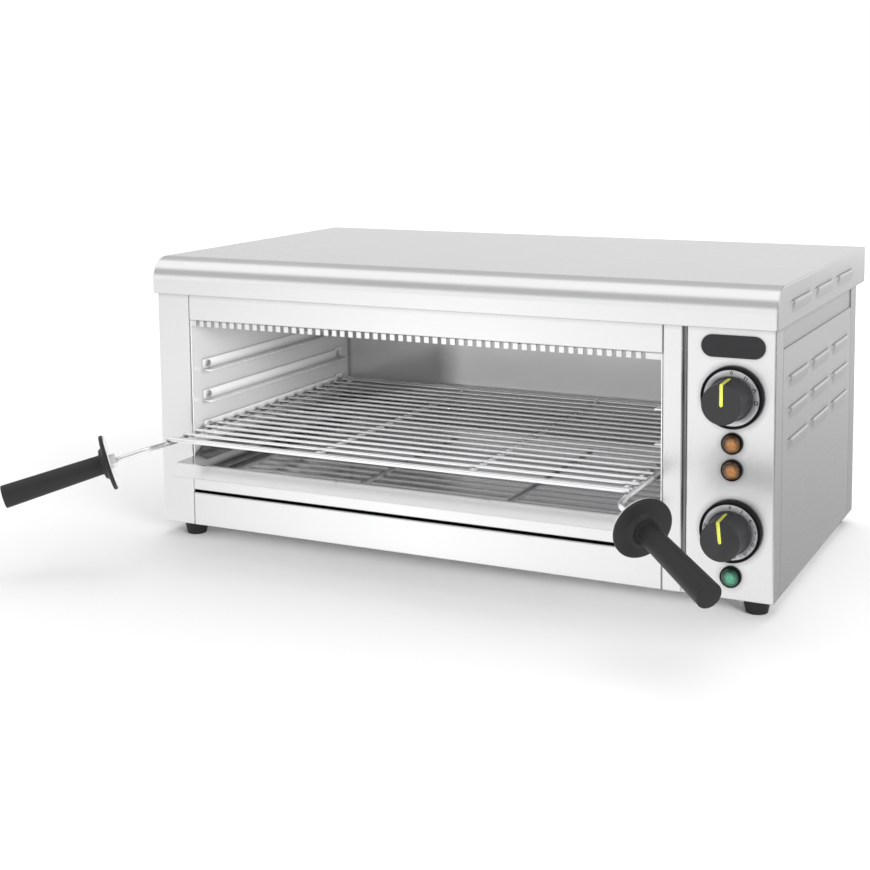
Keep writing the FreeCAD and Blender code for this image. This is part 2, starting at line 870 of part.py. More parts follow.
def cavity_floor():
    corners = [
        ("body_front", "sill_bottom"),
        ("body_front + fascia_return", "sill_bottom"),
        ("body_front + fascia_return", "sill_bottom + sheet_thickness"),
        ("skin_front", "sill_bottom + sheet_thickness"),
        ("skin_front", "floor_top - sheet_thickness"),
        ("cavity_back", "floor_top - sheet_thickness"),
        ("cavity_back", "floor_top"),
        ("body_front", "floor_top"),
    ]
    bends = [
        ("body_front", "floor_top", "bend_radius"),
        ("body_front", "sill_bottom", "bend_radius"),
        ("skin_front", "floor_top - sheet_thickness", "bend_inside"),
        ("skin_front", "sill_bottom + sheet_thickness", "bend_inside"),
    ]
    body = folded_across("cavity_floor", corners, "opening_left", "opening_right", bends)
    keep(body, "cavity_floor")


def element_lines():
    """The Y places of the heating elements' straight runs, four to an element."""
    return ["element_first + %d * element_pitch" % number for number in range(8)]


def cavity_walls():
    left = plain_box("cavity_left_wall", ("opening_left", "skin_front", "floor_top"),
                     ("cavity_left", "cavity_back", "front_top"))
    keep(left, "cavity_left_wall")
    right = new_body("cavity_right_wall")
    side = rectangle("skin_front", "cavity_back", "floor_top", "front_top")
    pad(right, outline(right, "YZ_Plane", side, "cavity_right"), "sheet_thickness")
    lines = element_lines()
    for number in (0, 3, 4, 7):
        hole = round_hole(right, "YZ_Plane", lines[number], "element_level",
                          "element_diameter / 2 + element_clearance",
                          "cavity_right - sheet_thickness")
        pocket(right, hole, "3 * sheet_thickness", along_normal=True)
    keep(right, "cavity_right_wall")
    back = plain_box("cavity_back_wall", ("opening_left", "cavity_back", "floor_top - sheet_thickness"),
                     ("opening_right", "cavity_back + sheet_thickness", "front_top"))
    keep(back, "cavity_back_wall")


def reflector():
    """The roof over the elements, its front and back edges turned down as skirts."""
    outer_top = "reflector_level + sheet_thickness"
    corners = [
        ("skin_front", "reflector_level - reflector_skirt"),
        ("skin_front + sheet_thickness", "reflector_level - reflector_skirt"),
        ("skin_front + sheet_thickness", "reflector_level"),
        ("cavity_back - sheet_thickness", "reflector_level"),
        ("cavity_back - sheet_thickness", "reflector_level - reflector_skirt"),
        ("cavity_back", "reflector_level - reflector_skirt"),
        ("cavity_back", outer_top),
        ("skin_front", outer_top),
    ]
    body = folded_across("reflector", corners, "cavity_left", "cavity_right", [])
    keep(body, "reflector")
    blanket = plain_box(
        "insulation_blanket",
        ("cavity_left + blanket_margin", "skin_front + 3 * blanket_margin", outer_top),
        ("cavity_right - blanket_margin", "cavity_back - blanket_margin",
         outer_top + " + blanket_thickness"))
    keep(blanket, "insulation_blanket")


def heater_guard():
    """The slotted sheet under the elements, its front edge turned down into a comb of teeth."""
    body = new_body("heater_guard")
    corners = [
        ("skin_front", "guard_bottom"),
        ("skin_front + sheet_thickness", "guard_bottom"),
        ("skin_front + sheet_thickness", "guard_under"),
        ("cavity_back", "guard_under"),
        ("cavity_back", "fascia_bottom"),
        ("skin_front", "fascia_bottom"),
    ]
    span = "(cavity_right - cavity_left)"
    pad(body, outline(body, "YZ_Plane", corners, "cavity_left"), span)
    start = "cavity_left + guard_end_margin"
    middle = "(skin_front + cavity_back) / 2"
    front_slot = rectangle(start, start + " + guard_slot", "body_front",
                           middle + " - guard_bridge / 2")
    back_slot = rectangle(start, start + " + guard_slot", middle + " + guard_bridge / 2",
                          "cavity_back - guard_bridge")
    level = "guard_bottom - seat_gap"
    depth = "guard_lip + 2 * seat_gap"
    slots = []
    for slot in (front_slot, back_slot):
        slots.append(pocket(body, outline(body, "XY_Plane", slot, level), depth,
                            along_normal=True))
    room = place("cavity_right") - place("cavity_left") - 2 * size("guard_end_margin")
    steps = int((room - size("guard_slot")) / size("guard_pitch"))
    row(body, slots, "X_Axis", "%d * guard_pitch" % steps, steps + 1)
    keep(body, "heater_guard")


# Heating elements

def serpentine(label, first):
    """A tube that runs left and right four times, joined by three half turns."""
    level = place("element_level")
    pitch = place("element_pitch")
    near_end = place("opening_right") + size("element_tail")
    far_end = place("element_left")
    turn_end = place("cavity_right") - size("element_end_inset")
    stations = [place("element_first") + (first + number) * pitch for number in range(4)]

    def point(x, y):
        return vector(x, y, level)

    def half_turn(x, low, reach):
        middle = point(x + reach, low + pitch / 2)
        return Part.Arc(point(x, low), middle, point(x, low + pitch))

    reach = pitch / 2
    edges = [
        Part.LineSegment(point(near_end, stations[0]), point(far_end, stations[0])),
        half_turn(far_end, stations[0], -reach),
        Part.LineSegment(point(far_end, stations[1]), point(turn_end, stations[1])),
        half_turn(turn_end, stations[1], reach),
        Part.LineSegment(point(turn_end, stations[2]), point(far_end, stations[2])),
        half_turn(far_end, stations[2], -reach),
        Part.LineSegment(point(far_end, stations[3]), point(near_end, stations[3])),
    ]
    path = Part.Wire([edge.toShape() for edge in edges])
    ring = Part.Circle(point(near_end, stations[0]), vector(1, 0, 0),
                       size("element_diameter") / 2)
    tube = path.makePipeShell([Part.Wire(ring.toShape())], True, False)
    feature = doc.addObject("Part::Feature", label)
    feature.Shape = tube
    return keep(feature, label)


def heating_elements():
    serpentine("front_heating_element", 0)
    serpentine("back_heating_element", 4)
    lines = element_lines()
    brackets = []
    for x in ("cavity_left + bracket_inset", "cavity_right - bracket_inset"):
        strip = plain_box(
            "strip", (x, "element_first - element_pitch / 2", "fascia_bottom"),
            ("%s + bracket_thickness" % x, "element_last + element_pitch / 2",
             "element_level"))
        cradles = []
        for line in lines:
            cradles.append(bar("cradle", ("%s - sheet_thickness" % x, line, "element_level"),
                               "+X", "element_diameter / 2 + element_clearance / 3",
                               "bracket_thickness + 2 * sheet_thickness"))
        brackets.append(cut("bracket", strip, group("cradles", cradles)))
    keep(group("element_brackets", brackets), "element_brackets")
    collars = []
    studs = []
    for number in (0, 3, 4, 7):
        ring = bar("ring", ("opening_right", lines[number], "element_level"), "+X",
                   "collar_radius", "collar_length")
        hole = bar("hole", ("opening_right - sheet_thickness", lines[number], "element_level"),
                   "+X", "element_diameter / 2 + element_clearance / 3",
                   "collar_length + 2 * sheet_thickness")
        collars.append(cut("collar", ring, hole))
        studs.append(bar("stud", ("opening_right + element_tail", lines[number],
                                  "element_level"), "+X", "terminal_radius", "terminal_length"))
    keep(group("element_collars", collars), "element_collars")
    keep(group("element_terminals", studs), "element_terminals")


# Rack rails

def rail_levels():
    """The underside of each rail's ledge, lowest first."""
    return ["ledge_under + %d * rail_pitch" % number for number in range(3)]


def rail(wall, sign, level):
    """An angle rail with a raised tab at its back end for the screw."""
    body = new_body("rail")
    face = "%s %s sheet_thickness" % (wall, sign)
    edge = "%s %s rail_ledge" % (wall, sign)
    ledge = rectangle(wall, edge, "rail_front", "rail_back")
    pad(body, outline(body, "XY_Plane", ledge, level), "sheet_thickness")
    top = "%s + rail_height" % level
    upright = [
        ("rail_front", level),
        ("rail_back", level),
        ("rail_back", "%s + rail_tab" % top),
        ("rail_back - rail_tab_length", "%s + rail_tab" % top),
        ("rail_back - rail_tab_length", top),
        ("rail_front", top),
    ]
    start = wall if sign == "+" else face
    pad(body, outline(body, "YZ_Plane", upright, start), "sheet_thickness")
    for along in ("rail_front + rail_screw_inset", "rail_back - rail_screw_inset"):
        hole = round_hole(body, "YZ_Plane", along, "%s + rail_screw_rise" % level,
                          "screw_radius + screw_clearance",
                          "%s - 2 * sheet_thickness" % wall)
        pocket(body, hole, "4 * sheet_thickness", along_normal=True)
    return body, face


def rack_rails():
    """Three rails on each cavity wall; returns the heads of their screws."""
    screws = []
    for label, wall, sign in (("left_rack_rails", "cavity_left", "+"),
                              ("right_rack_rails", "cavity_right", "-")):
        rails = []
        for level in rail_levels():
            body, face = rail(wall, sign, level)
            rails.append(body)
            way = sign + "X"
            for along in ("rail_front + rail_screw_inset", "rail_back - rail_screw_inset"):
                base = (face, along, "%s + rail_screw_rise" % level)
                screws.append(bar("head", base, way, "screw_head_radius",
                                  "screw_head_height"))
        keep(group(label, rails), label)
    return screws


# Wire rack

def rounded_path(points, radius):
    """Straight runs joined by arcs that touch both runs."""
    edges = []
    start = points[0]
    for index in range(1, len(points) - 1):
        corner = points[index]
        inward = (points[index - 1] - corner).normalize()
        outward = (points[index + 1] - corner).normalize()
        half_angle = inward.getAngle(outward) / 2
        reach = radius / math.tan(half_angle)
        first = corner + inward * reach
        last = corner + outward * reach
        middle_way = (inward + outward).normalize()
        centre = corner + middle_way * (radius / math.sin(half_angle))
        middle = centre - middle_way * radius
        edges.append(Part.LineSegment(start, first).toShape())
        edges.append(Part.Arc(first, middle, last).toShape())
        start = last
    edges.append(Part.LineSegment(start, points[-1]).toShape())
    return Part.Wire(edges)


def handle_frame(side):
    """The bend of a handle rod and the way its handle points; side is -1 left, 1 right."""
    out = math.radians(size("handle_out_angle"))
    drop = math.radians(size("handle_drop_angle"))
    way = vector(side * math.sin(out) * math.cos(drop),
                 -math.cos(out) * math.cos(drop), -math.sin(drop))
    bend = vector(
        place("cavity_middle") + side * (place("rod_offset") + size("handle_splay")),
        place("rack_front") - size("handle_extension"), place("rod_level"))
    return bend, way


def side_rod(label, side):
    """An outer rod of the rack that runs on past the front and bends out into a handle."""
    bend, way = handle_frame(side)
    x = place("cavity_middle") + side * place("rod_offset")
    level = place("rod_level")
    reach = size("shield_distance") + size("flange_thickness") + size("spigot_depth")
    points = [
        vector(x, place("rack_back") + size("rack_rod_overrun"), level),
        vector(x, place("rack_front"), level),
        bend,
        bend + way * reach,
    ]
    path = rounded_path(points, size("handle_bend_radius"))
    ring = Part.Circle(points[0], vector(0, 1, 0), size("rod_diameter") / 2)
    feature = doc.addObject("Part::Feature", label)
    feature.Shape = path.makePipeShell([Part.Wire(ring.toShape())], True, False)
    return keep(feature, label)


def wire_rack():
    side_rod("rack_left_rod", -1)
    side_rod("rack_right_rod", 1)
    bearers = []
    for offset in ("-(rod_offset - rack_inner_offset)", "-rack_bearer_spacing / 2",
                   "rack_bearer_spacing / 2", "(rod_offset - rack_inner_offset)"):
        base = ("cavity_middle + " + offset, "rack_front", "bearer_level")
        bearers.append(bar("bearer", base, "+Y", "bearer_diameter / 2", "rack_depth"))
    keep(group("rack_bearers", bearers), "rack_bearers")
    left = "cavity_middle - rod_offset - rack_wire_overhang"
    width = "2 * rod_offset + 2 * rack_wire_overhang"
    ends = []
    for y in ("rack_front", "rack_back"):
        ends.append(bar("end", (left, y, "end_rod_level"), "+X", "bearer_diameter / 2", width))
    keep(group("rack_end_rods", ends), "rack_end_rods")
    room = size("rack_depth") - size("rack_first_wire") - size("bearer_diameter")
    count = int(room / size("rack_wire_pitch")) + 1
    wires = []
    for number in range(count):
        y = "rack_front + rack_first_wire + %d * rack_wire_pitch" % number
        wires.append(bar("wire", (left, y, "wire_level"), "+X", "wire_diameter / 2", width))
    keep(group("rack_wires", wires), "rack_wires")


def on_handle(thing, side, distance):
    """Stands a turned piece on the handle's line, its height pointing to the grip's end."""
    bend, way = handle_frame(side)
    thing.Placement = FreeCAD.Placement(
        bend + way * distance, FreeCAD.Rotation(vector(0, 0, 1), way))
    return thing


def handles():
    bore = "rod_diameter / 2 + spigot_clearance"
    for side, word in ((-1, "left"), (1, "right")):
        shield = turned(word + "_handle_shield", [
            (bore, "0"),
            (bore, "shield_thickness"),
            ("boss_radius", "shield_thickness"),
            ("shield_radius", "shield_thickness - shield_dish"),
            ("shield_radius", "-shield_dish"),
            ("boss_radius", "0"),
        ])
        on_handle(shield, side, size("shield_distance") - size("shield_thickness"))
        keep(shield, word + "_handle_shield")
        grip = turned(word + "_handle_grip", [
            (bore, "0"),
            ("boss_radius", "0"),
            ("shield_radius", "-shield_dish"),
            ("shield_radius", "flange_thickness - shield_dish"),
            ("boss_radius", "flange_thickness + flange_thickness / 2"),
            ("grip_root_radius", "boss_length"),
            ("grip_end_radius", "grip_length - grip_edge"),
            ("grip_end_radius - grip_edge", "grip_length"),
            ("0", "grip_length"),
            ("0", "spigot_depth + flange_thickness"),
            (bore, "spigot_depth + flange_thickness"),
        ])
        on_handle(grip, side, size("shield_distance"))
        keep(grip, word + "_handle_grip")
        blank = doc.addObject("Part::Prism", "nut_blank")
        blank.Polygon = 6
        blank.setExpression("Circumradius", formula("nut_radius"))
        blank.setExpression("Height", formula("nut_length"))
        drill = doc.addObject("Part::Cylinder", "nut_drill")
        drill.setExpression("Radius", formula(bore))
        drill.setExpression("Height", formula("2 * nut_length"))
        distance = size("shield_distance") - size("shield_thickness")
        on_handle(blank, side, distance - size("nut_length"))
        on_handle(drill, side, distance - 1.5 * size("nut_length"))
        keep(cut("nut", blank, drill), word + "_handle_nut")


# Drip tray

def drip_tray():
    """A shallow tray, open to the front, whose front edge slopes down as a lip."""
    body = new_body("drip_tray")
    lip_angle = "atan(tray_lip_drop / tray_lip_run)"
    step_y = "sheet_thickness * sin(%s)" % lip_angle
    step_z = "sheet_thickness * cos(%s)" % lip_angle
    section = [
        ("tray_back", "tray_under"),
        ("tray_back", "tray_top + tray_rim"),
        ("tray_back - sheet_thickness", "tray_top + tray_rim"),
        ("tray_back - sheet_thickness", "tray_top"),
        ("tray_front", "tray_top"),
        ("tray_front - tray_lip_run", "tray_top - tray_lip_drop"),
        ("tray_front - tray_lip_run + %s" % step_y,
         "tray_top - tray_lip_drop - %s" % step_z),
        ("tray_front + %s * (1 - cos(%s)) / sin(%s)" % ("sheet_thickness", lip_angle, lip_angle),
         "tray_under"),
    ]
    pad(body, outline(body, "YZ_Plane", section, "tray_left"), "tray_right - tray_left")
    rim = [
        ("tray_back", "tray_under"),
        ("tray_back", "tray_top + tray_rim"),
        ("skin_front + tray_rim_slope", "tray_top + tray_rim"),
        ("skin_front", "tray_top"),
        ("skin_front", "tray_under"),
    ]
    for start in ("tray_left", "tray_right - sheet_thickness"):
        pad(body, outline(body, "YZ_Plane", rim, start), "sheet_thickness")
    keep(body, "drip_tray")


# Controls

def knob_forms(word):
    """The knob's plain form and the groove that holds its pointer, both standing on Z."""
    blank = turned(word + "_knob_blank", [
        ("shaft_radius + shaft_clearance / 2", "0"),
        ("knob_flange_radius", "0"),
        ("knob_flange_radius", "knob_flange_thickness"),
        ("knob_root_radius", "knob_flange_thickness + sheet_thickness / 2"),
        ("knob_face_radius", "knob_height - knob_edge"),
        ("knob_face_radius - knob_edge", "knob_height"),
        ("0", "knob_height"),
        ("0", "shaft_in_knob"),
        ("shaft_radius + shaft_clearance / 2", "shaft_in_knob"),
    ])
    slab = plain_box(word + "_slab",
                     ("-pointer_width / 2", "0", "knob_flange_thickness + sheet_thickness"),
                     ("pointer_width / 2", "knob_flange_radius", "knob_height + sheet_thickness"))
    core = doc.addObject("Part::Cone", word + "_core")
    core.setExpression("Radius1", formula("knob_root_radius - pointer_depth"))
    core.setExpression("Radius2", formula("knob_face_radius - pointer_depth"))
    core.setExpression("Height", formula("knob_height - pointer_depth"))
    groove = cut(word + "_groove", slab, core)
    return blank, groove


def knob_place(height, turn):
    """Faces a knob to the front with its pointer up, turned about its shaft."""
    spin = FreeCAD.Rotation(vector(0, 0, 1), turn)
    return FreeCAD.Placement(
        vector(place("control_middle"), place("knob_back"), guide(control_height(height))),
        AXIS_TURNS["-Y"].multiply(spin))


def knob(word, height, turn):
    """A knob with its pointer set into it and the shaft that it turns."""
    blank, groove = knob_forms(word)
    body = keep(cut(word + "_knob", blank, groove), word + "_knob")
    body.Placement = knob_place(height, turn)
    twin_blank, twin_groove = knob_forms(word + "_pointer")
    pointer = doc.addObject("Part::Common", word + "_knob_pointer")
    pointer.Base = twin_blank
    pointer.Tool = twin_groove
    pointer.Placement = knob_place(height, turn)
    keep(pointer, word + "_knob_pointer")
    middle = "control_middle"
    level = control_height(height)
    shaft = bar(word + "_shaft", (middle, "switch_face + shaft_in_switch", level), "-Y",
                "shaft_radius",
                "shaft_in_switch + sheet_thickness + dial_thickness + knob_gap + shaft_in_knob")
    keep(shaft, word + "_shaft")


def dial(word, height):
    """The fixed ring behind a knob: a raised black rim round a sunk silver face."""
    ring = turned(word + "_dial", [
        ("bushing_radius + bushing_clearance", "0"),
        ("dial_radius", "0"),
        ("dial_radius", "dial_thickness"),
        ("dial_radius - dial_rim", "dial_thickness"),
        ("dial_radius - dial_rim", "dial_thickness - dial_recess"),
        ("bushing_radius + bushing_clearance", "dial_thickness - dial_recess"),
    ])
    facing_front(ring, ("control_middle", "body_front", control_height(height)))
    keep(ring, word + "_dial")


def switch(label, height, width, depth):
    """A switch or timer behind the panel with its threaded bushing through it."""
    level = control_height(height)
    case = plain_box(label + "_case",
                     ("control_middle - %s / 2" % width, "switch_face", "%s - %s / 2" % (level, width)),
                     ("control_middle + %s / 2" % width, "switch_face + %s" % depth,
                      "%s + %s / 2" % (level, width)))
    bushing = bar(label + "_bushing", ("control_middle", "switch_face + sheet_thickness", level),
                  "-Y", "bushing_radius", "3 * sheet_thickness + dial_thickness / 2")
    well = bar(label + "_well", ("control_middle", "switch_face + shaft_in_switch + seat_gap", level),
               "-Y", "shaft_radius + shaft_clearance",
               "shaft_in_switch + 5 * sheet_thickness + dial_thickness")
    keep(cut(label, fuse(label + "_solid", [case, bushing]), well), label)


def lamp_pieces(heights):
    """Bezels and lenses of the lamps at some heights."""
    bezels = []
    lenses = []
    for word in heights:
        bezel = turned("lamp_bezel", [
            ("lens_radius + lens_clearance", "0"),
            ("lamp_radius", "0"),
            ("lamp_radius", "lamp_height - sheet_thickness"),
            ("lamp_radius - sheet_thickness", "lamp_height"),
            ("lens_radius + lens_clearance", "lamp_height"),
        ])
        facing_front(bezel, ("control_middle", "body_front", control_height(word)))
        bezels.append(bezel)
        lens = turned("lamp_lens", [
            ("0", "0"),
            ("lens_radius", "0"),
            ("lens_radius", "lens_dome / 2"),
            ("lens_radius * 0.75", "lens_dome * 0.85"),
            ("lens_radius * 0.35", "lens_dome"),
            ("0", "lens_dome"),
        ])
        facing_front(lens, ("control_middle", "body_front", control_height(word)))
        lenses.append(lens)
    return bezels, lenses


def lamps():
    bezels, lenses = lamp_pieces(LAMP_HEIGHTS[:2])
    keep(group("amber_lamp_bezels", bezels), "amber_lamp_bezels")
    keep(group("amber_lamp_lenses", lenses), "amber_lamp_lenses")
    bezels, lenses = lamp_pieces(LAMP_HEIGHTS[2:])
    keep(bezels[0], "green_lamp_bezel")
    keep(lenses[0], "green_lamp_lens")
    barrels = []
    for word in LAMP_HEIGHTS:
        barrels.append(bar("barrel", ("control_middle", "body_front", control_height(word)),
                           "+Y", "lamp_barrel_radius", "lamp_barrel_length"))
    keep(group("lamp_barrels", barrels), "lamp_barrels")


def badge():
    """A bare plate with round ends."""
    body = new_body("badge_plate")
    half = "badge_height / 2"
    lines = rectangle("control_middle - badge_length / 2", "control_middle + badge_length / 2",
                      "body_bottom + badge_level - " + half, "body_bottom + badge_level + " + half)
    pad(body, outline(body, "XZ_Plane", lines, "-body_front"), "badge_thickness")
    front = place("body_front")
    back = front - size("badge_thickness")
    names = []
    for number, edge in enumerate(body.Shape.Edges):
        ends = sorted(vertex.Point.y for vertex in edge.Vertexes)
        if near(ends[0], back) and near(ends[1], front):
            names.append("Edge%d" % (number + 1))
    base = body.Tip
    corners = body.newObject("PartDesign::Fillet", "round_ends")
    corners.Base = (base, names)
    corners.setExpression("Radius", formula(half + " - seat_gap / 10"))
    doc.recompute()
    keep(body, "badge_plate")


def controls():
    for word, height, turn in (("power", "power_knob_height", 0.0),
                               ("timer", "timer_knob_height", size("timer_rest_angle"))):
        dial(word, height)
        knob(word, height, turn)
    switch("power_switch", "power_knob_height", "switch_width", "switch_depth")
    switch("timer", "timer_knob_height", "timer_width", "timer_depth")
    lamps()
    badge()


# Feet, fasteners and the supply entry

def feet():
    pads = []
    screws = []
    for x in ("foot_left", "foot_right"):
        for y in ("foot_front", "foot_back"):
            foot = turned("foot", [
                ("foot_screw_radius + screw_clearance", "0"),
                ("foot_top_radius", "0"),
                ("foot_tip_radius", "foot_height"),
                ("foot_screw_head + screw_clearance", "foot_height"),
                ("foot_screw_head + screw_clearance", "foot_height - foot_screw_sink"),
                ("foot_screw_radius + screw_clearance", "foot_height - foot_screw_sink"),
            ])
            foot.Placement = FreeCAD.Placement(vector(0, 0, 0), AXIS_TURNS["-Z"])
            set_base(foot, (x, y, "body_bottom"))
            pads.append(foot)
            seat = "foot_screw_sink"
            head = bar("screw_head", (x, y, seat), "-Z", "foot_screw_head", "screw_head_height")
            shank = bar("screw_shank", (x, y, seat + " - screw_head_height / 2"), "+Z",
                        "foot_screw_radius", "foot_screw_length")
            screws.append(fuse("foot_screw", [head, shank]))
    keep(group("feet", pads), "feet")
    keep(group("foot_screws", screws), "foot_screws")


def casing_screws(heads):
    """The rails' screw heads and those of the back panel."""
    for across, up in back_screw_spots():
        heads.append(bar("head", (across, "body_back", up), "+Y", "screw_head_radius",
                         "screw_head_height"))
    keep(group("casing_screws", heads), "casing_screws")


def supply_entry():
    middle = "gland_middle"
    level = "gland_height"
    hexagon = doc.addObject("Part::Prism", "gland_hex")
    hexagon.Polygon = 6
    hexagon.Placement = FreeCAD.Placement(vector(0, 0, 0), AXIS_TURNS["+Y"])
    set_base(hexagon, (middle, "body_back", level))
    hexagon.setExpression("Circumradius", formula("gland_hex_radius"))
    hexagon.setExpression("Height", formula("gland_hex_length"))
    cap = turned("gland_cap", [
        ("0", "0"),
        ("gland_cap_radius", "0"),
        ("gland_cap_radius", "gland_cap_length / 2"),
        ("gland_bore_radius + sheet_thickness", "gland_cap_length"),
        ("0", "gland_cap_length"),
    ])
    cap.Placement = FreeCAD.Placement(vector(0, 0, 0), AXIS_TURNS["+Y"])
    set_base(cap, (middle, "body_back + gland_hex_length - seat_gap", level))
    thread = bar("gland_thread", (middle, "body_back + seat_gap", level), "-Y",
                 "gland_thread_radius", "gland_nut_length + 3 * sheet_thickness")
    bore_start = "body_back + gland_hex_length + gland_cap_length + sheet_thickness"
    bore_length = "gland_hex_length + gland_cap_length + gland_nut_length + 8 * sheet_thickness"
    bore = bar("gland_bore", (middle, bore_start, level), "-Y", "gland_bore_radius", bore_length)
    keep(cut("cable_gland", fuse("gland_solid", [hexagon, cap, thread]), bore), "cable_gland")
    ring = doc.addObject("Part::Prism", "lock_ring")
    ring.Polygon = 6
    ring.Placement = FreeCAD.Placement(vector(0, 0, 0), AXIS_TURNS["-Y"])
    set_base(ring, (middle, "skin_back", level))
    ring.setExpression("Circumradius", formula("gland_hex_radius"))
    ring.setExpression("Height", formula("gland_nut_length"))
    hole = bar("lock_hole", (middle, "skin_back + sheet_thickness", level), "-Y",
               "gland_thread_radius + gland_clearance / 4", "gland_nut_length + 3 * sheet_thickness")
    keep(cut("gland_locknut", ring, hole), "gland_locknut")
    floor = "body_bottom + sheet_thickness"
    block = plain_box("terminal_block",
                      (middle + " - block_length / 2", "body_back - block_inset - block_depth", floor),
                      (middle + " + block_length / 2 ", "body_back - block_inset",
                       floor + " + block_height"))
    keep(block, "terminal_block")


top_cover()
front_columns()
control_panel()
side_walls()
frame_walls()
back_panel()
base_pan()
lower_front_panel()
front_fascia()
cavity_floor()
cavity_walls()
reflector()
heater_guard()
heating_elements()
rail_heads = rack_rails()
wire_rack()
handles()
drip_tray()
controls()
feet()
casing_screws(rail_heads)
supply_entry()
doc.recompute()

# Every object is checked before anything is written.
for thing in doc.Objects:
    for state in thing.State:
        if state in ("Invalid", "Error"):
            raise ValueError("%s is %s" % (thing.Label, state))
for node in nodes:
    shape = node.Shape
    if shape.isNull() or not shape.isValid() or not shape.Solids:
        raise ValueError("%s has no sound solid" % node.Label)

os.makedirs("parts", exist_ok=True)
for node in nodes:
    node.Shape.exportStep("parts/%s.step" % node.Label)
    print("%s: %d solids, %.1f cm3" % (node.Label, len(node.Shape.Solids), node.Shape.Volume / 1000))
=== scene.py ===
import math

import bmesh
import bpy
import numpy as np
from bpy.props import FloatProperty, FloatVectorProperty, PointerProperty
from mathutils import Matrix, Vector


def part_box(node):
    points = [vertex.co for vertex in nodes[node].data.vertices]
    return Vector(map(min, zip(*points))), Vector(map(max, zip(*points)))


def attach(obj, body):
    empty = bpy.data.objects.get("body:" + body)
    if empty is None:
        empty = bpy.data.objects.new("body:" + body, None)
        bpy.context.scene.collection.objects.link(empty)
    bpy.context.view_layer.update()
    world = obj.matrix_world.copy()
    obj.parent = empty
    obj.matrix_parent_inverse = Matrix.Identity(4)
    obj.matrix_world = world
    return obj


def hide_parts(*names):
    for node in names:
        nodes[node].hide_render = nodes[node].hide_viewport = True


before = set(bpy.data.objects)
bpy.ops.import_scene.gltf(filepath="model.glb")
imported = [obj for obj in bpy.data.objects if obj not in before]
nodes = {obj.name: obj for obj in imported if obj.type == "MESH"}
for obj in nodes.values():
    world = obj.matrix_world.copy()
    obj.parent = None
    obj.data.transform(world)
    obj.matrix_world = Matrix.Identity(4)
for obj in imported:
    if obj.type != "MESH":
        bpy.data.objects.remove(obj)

bl_info = {
    "name": "Salamander grill",
    "version": (1, 0, 0),
    "blender": (4, 5, 0),
    "location": "View3D > Sidebar > Grill",
    "description": "Gives the grill's solid model its finishes, fine pieces and studio",
    "category": "Object",
}

MM = 0.001


# Sizes and colours that a user may change

def colour(name, description, value):
    """A colour setting with its first value."""
    return FloatVectorProperty(name=name, description=description, subtype="COLOR", size=3,
                               min=0.0, max=1.0, default=value)


def share(name, description, value):
    """A setting from nothing to whole."""
    return FloatProperty(name=name, description=description, subtype="FACTOR",
                         min=0.0, max=1.0, default=value)


def length(name, description, value):
    """A length setting, its first value in millimetres."""
    return FloatProperty(name=name, description=description, subtype="DISTANCE",
                         unit="LENGTH", min=0.0, default=value * MM)


def degrees(name, description, value):
    """An angle setting, its first value in degrees."""
    return FloatProperty(name=name, description=description, subtype="ANGLE",
                         unit="ROTATION", default=math.radians(value))


def watts(name, description, value):
    """A lamp's power in watts."""
    return FloatProperty(name=name, description=description, subtype="POWER", unit="POWER",
                         min=0.0, default=value)


def plain(name, description, value, low=None):
    """A plain number, with a lowest value where it can't go below one."""
    limits = {} if low is None else {"min": low}
    return FloatProperty(name=name, description=description, default=value, **limits)


class GrillMetal(bpy.types.PropertyGroup):
    """Finish of the sheet metal, the wires and the elements"""
    outer_colour: colour("Outer steel", "Colour of the brushed casing", (0.93, 0.93, 0.935))
    outer_roughness: share("Outer roughness", "Roughness of the brushed casing", 0.27)
    wall_colour: colour("Side walls", "Colour of the cavity's satin sides", (0.93, 0.93, 0.93))
    wall_metal: share("Side wall metal", "How much the satin sides mirror", 0.42)
    cavity_colour: colour("Cavity steel", "Colour of the cavity's smooth sheet", (0.76, 0.762, 0.765))
    cavity_roughness: share("Cavity roughness", "Roughness of the cavity's sheet", 0.06)
    chrome_colour: colour("Chrome", "Colour of the rack and the shields", (0.88, 0.885, 0.89))
    chrome_roughness: share("Chrome roughness", "Roughness of the rack and the shields", 0.12)
    zinc_colour: colour("Zinc", "Colour of the galvanised sheet", (0.84, 0.845, 0.85))
    sheath_colour: colour("Element", "Colour of the oxidised heating tubes", (0.12, 0.11, 0.10))


class GrillPlastic(bpy.types.PropertyGroup):
    """Finish of the moulded, printed and glazed pieces"""
    black_colour: colour("Black plastic", "Colour of knobs and dials", (0.007, 0.007, 0.0075))
    grip_colour: colour("Grips", "Colour of the handle grips", (0.013, 0.013, 0.0135))
    rubber_colour: colour("Rubber", "Colour of the feet", (0.012, 0.012, 0.012))
    badge_colour: colour("Badge", "Colour of the bare plate", (0.016, 0.016, 0.017))
    dial_colour: colour("Dial face", "Colour of the dials' silver ring", (0.44, 0.44, 0.45))
    ink_colour: colour("Dial print", "Colour of the dials' figures", (0.012, 0.012, 0.012))
    pointer_colour: colour("Pointer", "Colour of the knobs' pointers", (0.5, 0.52, 0.07))
    amber_colour: colour("Amber lamp", "Colour of the amber glass", (0.23, 0.1, 0.028))
    green_colour: colour("Green lamp", "Colour of the green glass", (0.045, 0.2, 0.12))


